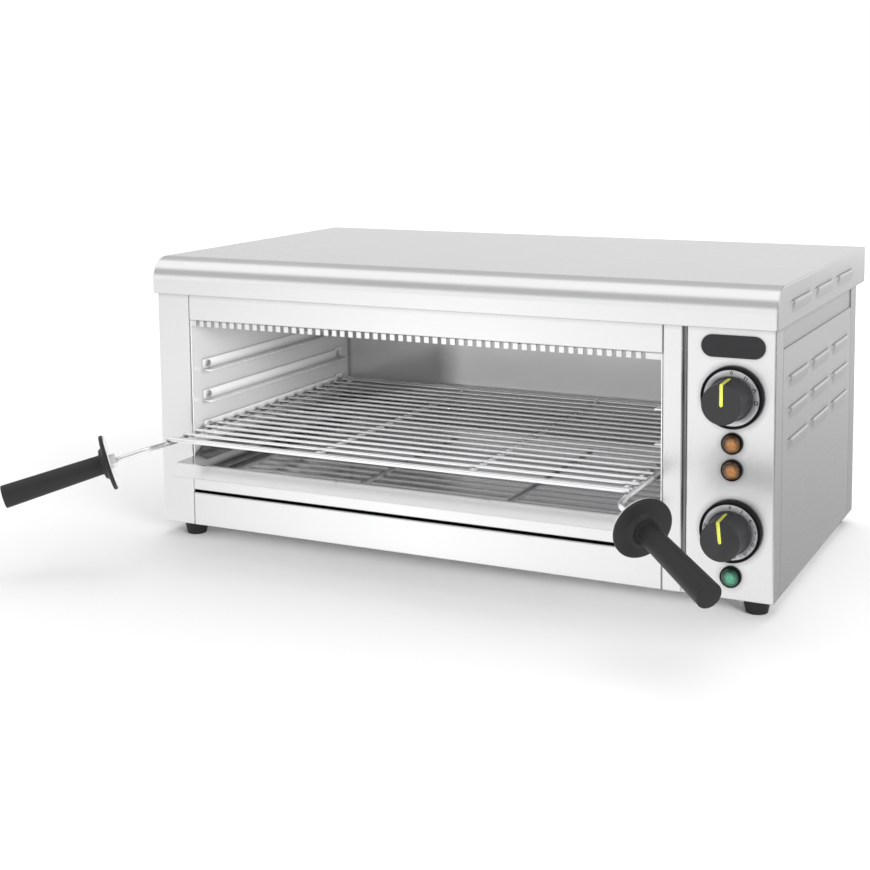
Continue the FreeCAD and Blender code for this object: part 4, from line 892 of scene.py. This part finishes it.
def printed(text, size, spot, turn):
    """The flat mesh of a figure, turned with the clock about the dial."""
    curve = bpy.data.curves.new("figure", "FONT")
    curve.body = text
    curve.size = size
    curve.align_x = "CENTER"
    curve.align_y = "CENTER"
    curve.extrude = 0.02 * MM
    curve.offset = 0.1 * MM
    writer = bpy.data.objects.new("figure", curve)
    bpy.context.scene.collection.objects.link(writer)
    bpy.context.view_layer.update()
    mesh = bpy.data.meshes.new_from_object(writer)
    bpy.data.objects.remove(writer)
    bpy.data.curves.remove(curve)
    mesh.transform(Matrix.Rotation(-turn, 4, "Z") @ Matrix.Translation((0.0, spot, 0.0)))
    return mesh


def printed_bar(width, height, across, spot, turn, lean=0.0):
    """A small printed bar as a mesh, turned with the clock about the dial."""
    mesh = bpy.data.meshes.new("bar")
    work = bmesh.new()
    bmesh.ops.create_cube(work, size=1.0)
    work.to_mesh(mesh)
    work.free()
    grow = Matrix.Diagonal((width, height, 0.04 * MM, 1.0))
    slide = Matrix.Translation((across, spot, 0.0)) @ Matrix.Rotation(lean, 4, "Z")
    mesh.transform(Matrix.Rotation(-turn, 4, "Z") @ slide @ grow)
    return mesh


def print_piece(name, meshes, stand, material):
    """All the marks of a dial as one piece."""
    work = bmesh.new()
    for mesh in meshes:
        work.from_mesh(mesh)
        bpy.data.meshes.remove(mesh)
    bmesh.ops.recalc_face_normals(work, faces=work.faces)
    result = bpy.data.meshes.new(name)
    work.to_mesh(result)
    work.free()
    result.transform(stand)
    stand_piece(name, result, material, "casing")


def power_marks(sizes, ring):
    """Off, and plain signs for the front, both and full heat."""
    thin = 0.8 * MM
    tall = 3.2 * MM
    side = 2.9 * MM
    front_turn, both_turn, full_turn = (math.radians(turn) for turn in (35.0, 68.0, 97.0))
    marks = [printed("0", sizes.figure_size, ring, 0.0)]
    for across in (-1.0, 1.0):
        marks.append(printed_bar(thin, tall, across * MM, ring, front_turn))
    for lean in (-0.6, 0.6):
        marks.append(printed_bar(thin, tall, lean * 1.5 * MM, ring, both_turn, lean))
    for across in (-1.2, 1.2):
        marks.append(printed_bar(thin, side, across * MM, ring, full_turn))
        marks.append(printed_bar(side, thin, 0.0, ring + across * MM, full_turn))
    return marks


def timer_marks(sizes, ring):
    """Plain minutes round the ring with a short tick between them."""
    figures = 11
    minutes = 3
    step = math.radians(28.0)
    marks = []
    for number in range(figures):
        turn = step * number
        marks.append(printed(str(number * minutes), sizes.figure_size * 0.9, ring, turn))
        if number < figures - 1:
            marks.append(printed_bar(0.4 * MM, 1.4 * MM, 0.0, ring + 0.6 * MM, turn + step / 2))
    return marks


class GRILL_OT_dials(bpy.types.Operator):
    """Silver rings with printed marks in the dials' black rims"""
    bl_idname = "grill.dials"
    bl_label = "Dials"

    def execute(self, context):
        sizes = context.scene.grill_controls
        plastic = context.scene.grill_plastic
        face = finish_of("dial_silver", dial_metal, plastic.dial_colour)
        print_finish = finish_of("dial_ink", ink, plastic.ink_colour)
        give(black_plastic(), "power_dial", "timer_dial")
        sunk = 0.6 * MM
        bottom = 0.02 * MM
        top = 0.3 * MM
        for word, marks in (("power", power_marks), ("timer", timer_marks)):
            low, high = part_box(word + "_dial")
            middle = (low + high) / 2
            radius = (high.x - low.x) / 2
            inner = sizes.flange_radius - 3.0 * MM
            outer = radius - sizes.dial_rim - 0.05 * MM
            ring = turned([
                (inner, bottom, 0.0),
                (outer, bottom, 0.0),
                (outer, top, 0.1 * MM),
                (inner, top, 0.0),
                (inner, bottom, 0.0),
            ], 128)
            stand = facing_front(middle.x, low.y + sunk, middle.z)
            new_piece(word + "_dial_ring", moved(ring, stand), face, "casing")
            lift = facing_front(middle.x, low.y + sunk - top - 0.01 * MM, middle.z)
            spot = (sizes.flange_radius + outer) / 2
            print_piece(word + "_dial_marks", marks(sizes, spot), lift, print_finish)
        return {"FINISHED"}


# Lamps

BEZEL_INNER = 0.92
DOME_INNER = 0.91


def lamp_centres(node, count):
    """The middles of the lamps in a node, with their height and radius, found from its box."""
    low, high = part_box(node)
    radius = (high.x - low.x) / 2
    x = (low.x + high.x) / 2
    levels = np.linspace(low.z + radius, high.z - radius, count)
    return [(x, high.y, level) for level in levels], high.y - low.y, radius


def bezel_profile(radius, height):
    """The bezel's half section: a narrow ring with a round lip."""
    inner = radius * BEZEL_INNER
    return [
        (inner, 0.0, 0.0),
        (radius, 0.0, 0.0),
        (radius, height * 0.6, 0.8 * MM),
        (inner + 0.3 * MM, height * 0.75, 0.4 * MM),
        (inner, height * 0.7, 0.2 * MM),
        (inner, 0.0, 0.0),
    ]


def dome_profile(radius, height):
    """The dome's half section: a quarter ellipse over a short straight wall."""
    inner = radius * DOME_INNER
    wall = height * 0.55
    rise = height * 0.7
    line = [(0.0, 0.2 * MM, 0.0), (inner, 0.2 * MM, 0.0)]
    for a in np.linspace(0.0, math.pi / 2, 14):
        line.append((inner * math.cos(a), wall + rise * math.sin(a), 0.0))
    return line


def map_domes(dome, centres, radius):
    """Gives domes a UV map: 0.5 + (place - nearest middle) / (2 * radius), seen from the front."""
    mesh = dome.data
    points = corners_of(mesh)
    nearest = np.abs(points[:, 2:] - centres[:, 2]).argmin(1)
    spots = 0.5 + (points - centres[nearest])[:, (0, 2)] / (2 * radius)
    corners = np.empty(len(mesh.loops), int)
    mesh.loops.foreach_get("vertex_index", corners)
    mesh.uv_layers.new(name="seen_from_front").data.foreach_set("uv", spots[corners].ravel())


class GRILL_OT_lamps(bpy.types.Operator):
    """Domed lamps: a round bezel and coloured glass with a mottled glow painted into its colour"""
    bl_idname = "grill.lamps"
    bl_label = "Lamps"

    def execute(self, context):
        plastic = context.scene.grill_plastic
        for word, count, bezel_node, lens_node, tone in (
                ("amber", 2, "amber_lamp_bezels", "amber_lamp_lenses", plastic.amber_colour),
                ("green", 1, "green_lamp_bezel", "green_lamp_lens", plastic.green_colour)):
            centres, height, radius = lamp_centres(bezel_node, count)
            bezel = turned(bezel_profile(radius, height), 64)
            glass = turned(dome_profile(radius, height), 64)
            stands = [facing_front(*centre) for centre in centres]
            new_piece(word + "_bezels", joined([moved(bezel, stand) for stand in stands]),
                      black_plastic(), "casing", [bezel_node])
            dome = new_piece(word + "_domes", joined([moved(glass, stand) for stand in stands]),
                             finish_of(word + "_glass", lamp_glass, tone), "casing",
                             [lens_node])
            map_domes(dome, np.array(centres), radius * DOME_INNER)
        return {"FINISHED"}


# Louvres, badge and feet

def hood(first, top, plane, sizes):
    """A pressed louvre on the right side, with a round foot and a narrow upper lip.

    With s along the louvre from its middle and w the distance from its nearer end, the end
    shape e is t^2 * (3 - 2 * t) with t = w / run up to w = run, and 1 beyond. With v from 0 at
    the foot to 1 at the lip, the point stands off the wall by depth * e * (1 - (1 - v)^1.7).
    From the lip the sheet turns in to the wall, rising a little.
    """
    run = 6.5 * MM
    half = sizes.length / 2
    turn = run * (1 - np.cos(np.linspace(0.0, math.pi / 2, 12)))
    s = np.concatenate([turn - half, np.linspace(run - half, half - run, 9)[1:-1],
                        (half - turn)[::-1]])[None, :]
    t = np.clip((half - np.abs(s)) / run, 0.0, 1.0)
    e = t ** 2 * (3 - 2 * t)
    v = np.linspace(0.0, 1.0, 15)[:, None]
    lip_off, lip_rise = np.array([(0.85, 0.5), (0.5, 0.9), (0.1, 1.0)]).T[:, :, None]
    off = np.vstack([1 - (1 - v) ** 1.7, lip_off])
    foot_up = top - sizes.height * (1 - v) + 0.0 * s
    return surface(plane + sizes.depth * e * off, first + half + s,
                   np.vstack([foot_up, top + lip_rise * MM * e]))


def hoods(firsts, tops, plane):
    """Rows of louvres with their ends and tops at places in millimetres."""
    sizes = bpy.context.scene.grill_louvres
    opening = 69.5 * MM
    extra = (sizes.length - opening) / 2
    return joined([hood(first * MM - extra, top * MM, plane, sizes)
                   for top in tops for first in firsts])


class GRILL_OT_louvres(bpy.types.Operator):
    """Pressed louvres over the openings of the right side and the cover's edge"""
    bl_idname = "grill.louvres"
    bl_label = "Louvres"

    def execute(self, context):
        finish = outer_steel("steel_along_y", ALONG_Y)
        side = hoods(np.linspace(-128.0, 36.5, 3), (193.0, 166.3, 139.6),
                     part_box("control_panel")[1].x)
        new_piece("side_louvres", side, finish, "casing")
        cover = hoods(np.linspace(-130.0, 42.0, 3), (256.0,), -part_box("top_cover")[0].x)
        new_piece("cover_louvres", cover, finish, "casing")
        return {"FINISHED"}


def gap_shadow_line(x, sheet):
    """A thin strip beside a sheet of the front, bulging 0.1 mm over its width: in darkened steel it
    paints the shadow of the joint's gap.
    """
    low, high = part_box(sheet)
    across = np.linspace(-1.0, 1.0, 7)[None, :]
    levels = np.linspace(low.z, high.z, 5)[:, None]
    return surface(x + 0.5 * MM * across, low.y - 0.1 * MM * (1 - across ** 2), levels)


class GRILL_OT_seam(bpy.types.Operator):
    """The recessed strip beside the control panel and thin strips at the columns' joints, in darkened
    steel that paints the shade of the gaps
    """
    bl_idname = "grill.seam"
    bl_label = "Seam strip"

    def execute(self, context):
        overlap = 0.2 * MM
        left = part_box("right_column")[1].x - overlap
        low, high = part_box("control_panel")
        right = low.x + overlap
        across = np.linspace(0.0, 1.0, 9)[None, :]
        levels = np.linspace(low.z, high.z, 9)[:, None]
        sunk = 2.2 * MM + 0.8 * MM * (1 - (2 * across - 1) ** 2)
        strip = surface(left + (right - left) * across, low.y + sunk, levels)
        # Painted shade: the casing's steel at 0.42 of its colour stands in for the shade in the gaps
        finish = outer_steel("seam_steel", ALONG_Z, 0.42)
        new_piece("panel_gap_shade_strip", strip, finish, "casing")
        gap_shadows = [gap_shadow_line(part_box(column)[side].x, sheet)
                 for column, side in (("left_column", 1), ("right_column", 0))
                 for sheet in ("front_fascia", "lower_front_panel")]
        new_piece("column_gap_shadow_lines", joined(gap_shadows), finish, "casing")
        return {"FINISHED"}


def stadium(length_over, height_over, rows, steps=96):
    """A plate with round ends, as rows of one outline drawn in and lifted.

    The outline is the straight core's nearest point plus radius * (cos a, sin a), and each row
    takes the radius less its inset and its own height. The last row is flat, at the middle.
    """
    a = np.linspace(0.0, 2 * math.pi, steps, endpoint=False)
    core = (length_over - height_over) / 2 * np.where(np.cos(a) >= 0, 1.0, -1.0)
    rows = np.vstack([rows, rows[-1:]])
    radius = height_over / 2 - rows[:, :1]
    y = radius * np.sin(a)
    y[-1] = 0.0
    return surface(core + radius * np.cos(a), y, rows[:, 1:], True)


class GRILL_OT_badge(bpy.types.Operator):
    """A bare dark plate with round ends above the power knob"""
    bl_idname = "grill.badge"
    bl_label = "Bare plate"

    def execute(self, context):
        low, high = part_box("badge_plate")
        middle = (low + high) / 2
        thick = high.y - low.y
        edge = eased([(0.0, 0.0, 0.0), (0.0, thick, 0.6 * MM), (2.0 * MM, thick, 0.0)])
        plate = stadium(high.x - low.x, high.z - low.z, edge)
        finish = finish_of("badge_plastic", moulded, context.scene.grill_plastic.badge_colour,
                           rough=(0.3, 0.4))
        new_piece("bare_badge", moved(plate, facing_front(middle.x, high.y, middle.z)), finish,
                  "casing", ["badge_plate"])
        return {"FINISHED"}


class GRILL_OT_feet(bpy.types.Operator):
    """Rubber feet with a soft edge and a sunk screw"""
    bl_idname = "grill.feet"
    bl_label = "Feet"

    def execute(self, context):
        low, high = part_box("feet")
        top = 11.5 * MM
        tip = 9.2 * MM
        recess = 4.65 * MM
        recess_end = 5.0 * MM
        screw_hole = 2.6 * MM
        foot = turned([
            (recess, recess_end, 0.0),
            (recess, 0.0, 0.4 * MM),
            (tip, 0.0, 0.9 * MM),
            (top, high.z, 0.3 * MM),
            (screw_hole, high.z, 0.0),
            (screw_hole, recess_end, 0.0),
            (recess, recess_end, 0.0),
        ], 64)
        feet = [moved(foot, Matrix.Translation((x, y, 0.0)))
                for x in (low.x + top, high.x - top) for y in (low.y + top, high.y - top)]
        finish = finish_of("rubber", moulded, context.scene.grill_plastic.rubber_colour,
                           rough=(0.55, 0.7), scale=900.0)
        new_piece("rubber_feet", joined(feet), finish, "casing", ["feet"])
        return {"FINISHED"}


# Studio

def studio_board(name, corners, levels, faces=((0, 1, 2, 3),)):
    """A flat board that only reflections see, its glow running evenly between its corners."""
    mesh = bpy.data.meshes.new(name)
    mesh.from_pydata(corners, [], faces)
    tones = mesh.color_attributes.new("glow", "FLOAT_COLOR", "POINT")
    tones.data.foreach_set("color", [part for level in levels for part in (level,) * 3 + (1.0,)])
    board = bpy.data.objects.new(name, mesh)
    bpy.context.scene.collection.objects.link(board)
    for ray in ("camera", "diffuse", "transmission", "volume_scatter", "shadow"):
        setattr(board, "visible_" + ray, False)
    material = new_material(name)[0]
    tree = material.node_tree
    tree.nodes.clear()
    tone = add_node(tree, "VertexColor", layer_name="glow")
    glow = add_node(tree, "Emission", {"Color": tone.outputs["Color"]})
    add_node(tree, "OutputMaterial", {"Surface": glow.outputs["Emission"]})
    mesh.materials.append(material)


def standing_board(name, start, end, low, high, level):
    """An upright board between two floor places."""
    corners = [(*start, low), (*end, low), (*end, high), (*start, high)]
    studio_board(name, corners, (level,) * 4)


def hanging_board(name, low, high, level):
    """A board over the studio's whole width, from a low (y, z) edge to a high one."""
    reach = 4.0
    corners = [(-reach, *low), (reach, *low), (reach, *high), (-reach, *high)]
    studio_board(name, corners, (level,) * 4)


def floor_strips(name, places, levels):
    """Boards on the floor between pairs of places, each pair joined to the next."""
    board_lift = 0.6 * MM
    faces = [(n, n + 1, n + 3, n + 2) for n in range(0, len(places) - 2, 2)]
    studio_board(name, [(x, y, board_lift) for x, y in places], levels, faces)


def floor_fan(name, foot, front, reaches, stops):
    """Floor strips that lie as an eye at the foot sees them through places on the front.

    A stop at x gives the points foot + reach * ((x, front) - foot) for both reaches, each with
    its own level.
    """
    places = []
    levels = []
    for x, *tones in stops:
        for reach, tone in zip(reaches, tones):
            places.append((foot[0] + reach * (x - foot[0]), foot[1] + reach * (front - foot[1])))
            levels.append(tone)
    floor_strips(name, places, levels)


def white_floor(studio):
    """A wide white floor that keeps the grill's shadow and glows more away from it."""
    reach = 12.0
    near, far, far_glow = 0.45, 1.3, 0.5
    mesh = bpy.data.meshes.new("studio_floor")
    mesh.from_pydata([(-reach, -reach, 0), (reach, -reach, 0), (reach, reach, 0),
                      (-reach, reach, 0)], [], [(0, 1, 2, 3)])
    floor = bpy.data.objects.new("studio_floor", mesh)
    bpy.context.scene.collection.objects.link(floor)
    material, tree, shader = new_material("studio_floor")
    rays = add_node(tree, "LightPath").outputs
    away = vector_worked(tree, "LENGTH", place_of(tree))
    glow = spread(tree, away, studio.floor_lift, far_glow, near, far, "SMOOTHSTEP")
    mirrored = worked(tree, "MULTIPLY", rays["Is Glossy Ray"], studio.floor_lift)
    fill(shader, {"Base Color": (0.95, 0.95, 0.95), "Roughness": 0.9, "Specular IOR Level": 0.0,
                  "Emission Color": (1.0, 1.0, 1.0),
                  "Emission Strength": worked(tree, "MULTIPLY_ADD", rays["Is Camera Ray"], glow,
                                              mirrored)})
    mesh.materials.append(material)
    return floor


def white_world(level):
    """A world that is plain white to the camera and to metal, and lights evenly."""
    world = bpy.data.worlds.new("studio_world")
    world.use_nodes = True
    tree = world.node_tree
    rays = add_node(tree, "LightPath").outputs
    seen = worked(tree, "MAXIMUM", rays["Is Camera Ray"], rays["Is Glossy Ray"])
    seen = worked(tree, "MAXIMUM", seen, rays["Is Transmission Ray"])
    fill(tree.nodes["Background"], {"Color": (1.0, 1.0, 1.0),
                                    "Strength": spread(tree, seen, level, 1.0)})
    bpy.context.scene.world = world


def soft_box(name, place, aim, width, height, strength):
    """A wide soft lamp that looks at a place and that metal doesn't mirror."""
    lamp = bpy.data.lights.new(name, "AREA")
    lamp.shape = "RECTANGLE"
    lamp.size = width
    lamp.size_y = height
    lamp.energy = strength
    stand = bpy.data.objects.new(name, lamp)
    stand.location = place
    way = Vector(aim) - Vector(place)
    stand.rotation_euler = way.to_track_quat("-Z", "Y").to_euler()
    stand.visible_glossy = False
    bpy.context.scene.collection.objects.link(stand)
    return stand


def photo_camera(studio):
    """The camera of the photograph."""
    data = bpy.data.cameras.new("camera")
    data.lens = studio.lens
    data.sensor_fit = "HORIZONTAL"
    data.sensor_width = 36.0
    data.shift_x = studio.aim_x
    data.shift_y = studio.aim_y
    data.clip_start = 0.05
    data.clip_end = 50.0
    camera = bpy.data.objects.new("camera", data)
    camera.matrix_world = (Matrix.Translation(Vector(studio.stand))
                           @ Matrix.Rotation(studio.azimuth, 4, "Z")
                           @ Matrix.Rotation(math.pi / 2 - studio.elevation, 4, "X")
                           @ Matrix.Rotation(studio.roll, 4, "Z"))
    bpy.context.scene.collection.objects.link(camera)
    bpy.context.scene.camera = camera


def lamps(studio, floor):
    """The three lamps; the front one, which reaches into the cavity, leaves out the floor."""
    cavity = (0.0, 0.0, 0.12)
    small = 0.16
    soft_box("key_light", (2.3, -1.35, 0.55), (-0.2, -0.1, 0.12), 1.3, 0.8, studio.key_power)
    soft_box("top_light", (-0.2, 1.0, 2.4), (0.0, 0.0, 0.0), 3.0, 2.0, studio.top_power)
    front_light = soft_box("front_light", (-1.06, -2.0, 0.42), cavity, small, small,
                           studio.front_power)
    kept_dark = bpy.data.collections.new("kept_dark")
    kept_dark.objects.link(floor)
    kept_dark.collection_objects[0].light_linking.link_state = "EXCLUDE"
    front_light.light_linking.receiver_collection = kept_dark


def boards():
    """The boards that the steel mirrors: behind, over the front, on the floor and beside."""
    wall = 2.4
    ceiling = 2.35
    hanging_board("back_low_board", (wall, 0.0), (wall, 1.0), 0.84)
    hanging_board("back_high_board", (wall, 1.0), (0.5, ceiling), 0.52)
    hanging_board("front_high_board", (-wall, 0.9), (-1.8, ceiling), 0.45)
    side_ends = (0.304, 2.6)
    side_rows = ((-0.15, 0.36, 0.4), (1.1, 0.57, 0.58), (3.0, 0.54, 0.55))
    floor_strips("side_card", [(x, y) for y, _, _ in side_rows for x in side_ends],
                 [level for _, *levels in side_rows for level in levels])
    right_ends = (0.62, 3.0)
    floor_strips("right_card", [(x, y) for y in (-1.6, -0.17) for x in right_ends], (0.2,) * 4)
    front_stops = [
        (-0.36, 0.83, 0.82),
        (-0.265, 0.85, 0.83),
        (-0.2, 0.95, 0.93),
        (-0.03, 1.12, 1.3),
        (0.12, 0.98, 1.26),
        (0.19, 0.92, 0.98),
        (0.2275, 0.9, 0.9),
        (0.24, 0.84, 1.14),
        (0.303, 0.85, 1.25),
        (0.36, 0.75, 1.2),
        (0.45, 0.5, 0.8),
        (0.6, 0.2, 0.2),
    ]
    foot = (0.6, 1.015)
    front = -0.168
    floor_fan("front_card", foot, front, (1.02, 2.8), front_stops)
    standing_board("wall_board", (-0.1, -0.5), (-0.025, -0.35), 0.0, 0.12, 0.05)
    standing_board("camera_board", (0.35, -2.5), (1.25, -2.4), 0.05, 0.95, 0.2)
    standing_board("right_board", (2.9, -1.6), (2.9, 0.4), 0.0, 1.3, 0.25)


class GRILL_OT_studio(bpy.types.Operator):
    """The camera, the white floor and world, the lamps and the reflecting boards"""
    bl_idname = "grill.studio"
    bl_label = "Studio"

    def execute(self, context):
        studio = context.scene.grill_studio
        context.scene.view_settings.view_transform = "Standard"
        photo_camera(studio)
        floor = white_floor(studio)
        white_world(studio.world_light)
        lamps(studio, floor)
        boards()
        return {"FINISHED"}


class GRILL_PT_panel(bpy.types.Panel):
    """Lists the grill's pieces and settings"""
    bl_idname = "GRILL_PT_panel"
    bl_label = "Salamander grill"
    bl_space_type = "VIEW_3D"
    bl_region_type = "UI"
    bl_category = "Grill"

    def draw(self, context):
        for operator in OPERATORS:
            self.layout.operator(operator.bl_idname)
        for word in SETTINGS:
            box = self.layout.box()
            group = getattr(context.scene, word)
            for name in group.bl_rna.properties.keys():
                if name not in ("rna_type", "name"):
                    box.prop(group, name)


SETTINGS = {
    "grill_metal": GrillMetal,
    "grill_plastic": GrillPlastic,
    "grill_controls": GrillControls,
    "grill_handles": GrillHandles,
    "grill_louvres": GrillLouvres,
    "grill_studio": GrillStudio,
}

OPERATORS = (
    GRILL_OT_studio,
    GRILL_OT_casing,
    GRILL_OT_cavity,
    GRILL_OT_rack,
    GRILL_OT_fittings,
    GRILL_OT_handles,
    GRILL_OT_dials,
    GRILL_OT_knobs,
    GRILL_OT_lamps,
    GRILL_OT_louvres,
    GRILL_OT_seam,
    GRILL_OT_badge,
    GRILL_OT_feet,
)


def register():
    """Registers the settings, the operators and the panel."""
    for word, group in SETTINGS.items():
        bpy.utils.register_class(group)
        setattr(bpy.types.Scene, word, PointerProperty(type=group))
    for operator in OPERATORS:
        bpy.utils.register_class(operator)
    bpy.utils.register_class(GRILL_PT_panel)


def unregister():
    """Takes back what register did."""
    bpy.utils.unregister_class(GRILL_PT_panel)
    for operator in reversed(OPERATORS):
        bpy.utils.unregister_class(operator)
    for word, group in reversed(SETTINGS.items()):
        delattr(bpy.types.Scene, word)
        bpy.utils.unregister_class(group)


def main():
    """Builds the dressed grill."""
    register()
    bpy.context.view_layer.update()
    bpy.ops.grill.studio()
    bpy.ops.grill.casing()
    bpy.ops.grill.cavity()
    bpy.ops.grill.rack()
    bpy.ops.grill.fittings()
    bpy.ops.grill.handles()
    bpy.ops.grill.dials()
    bpy.ops.grill.knobs()
    bpy.ops.grill.lamps()
    bpy.ops.grill.louvres()
    bpy.ops.grill.seam()
    bpy.ops.grill.badge()
    bpy.ops.grill.feet()


if __name__ == "__main__":
    main()
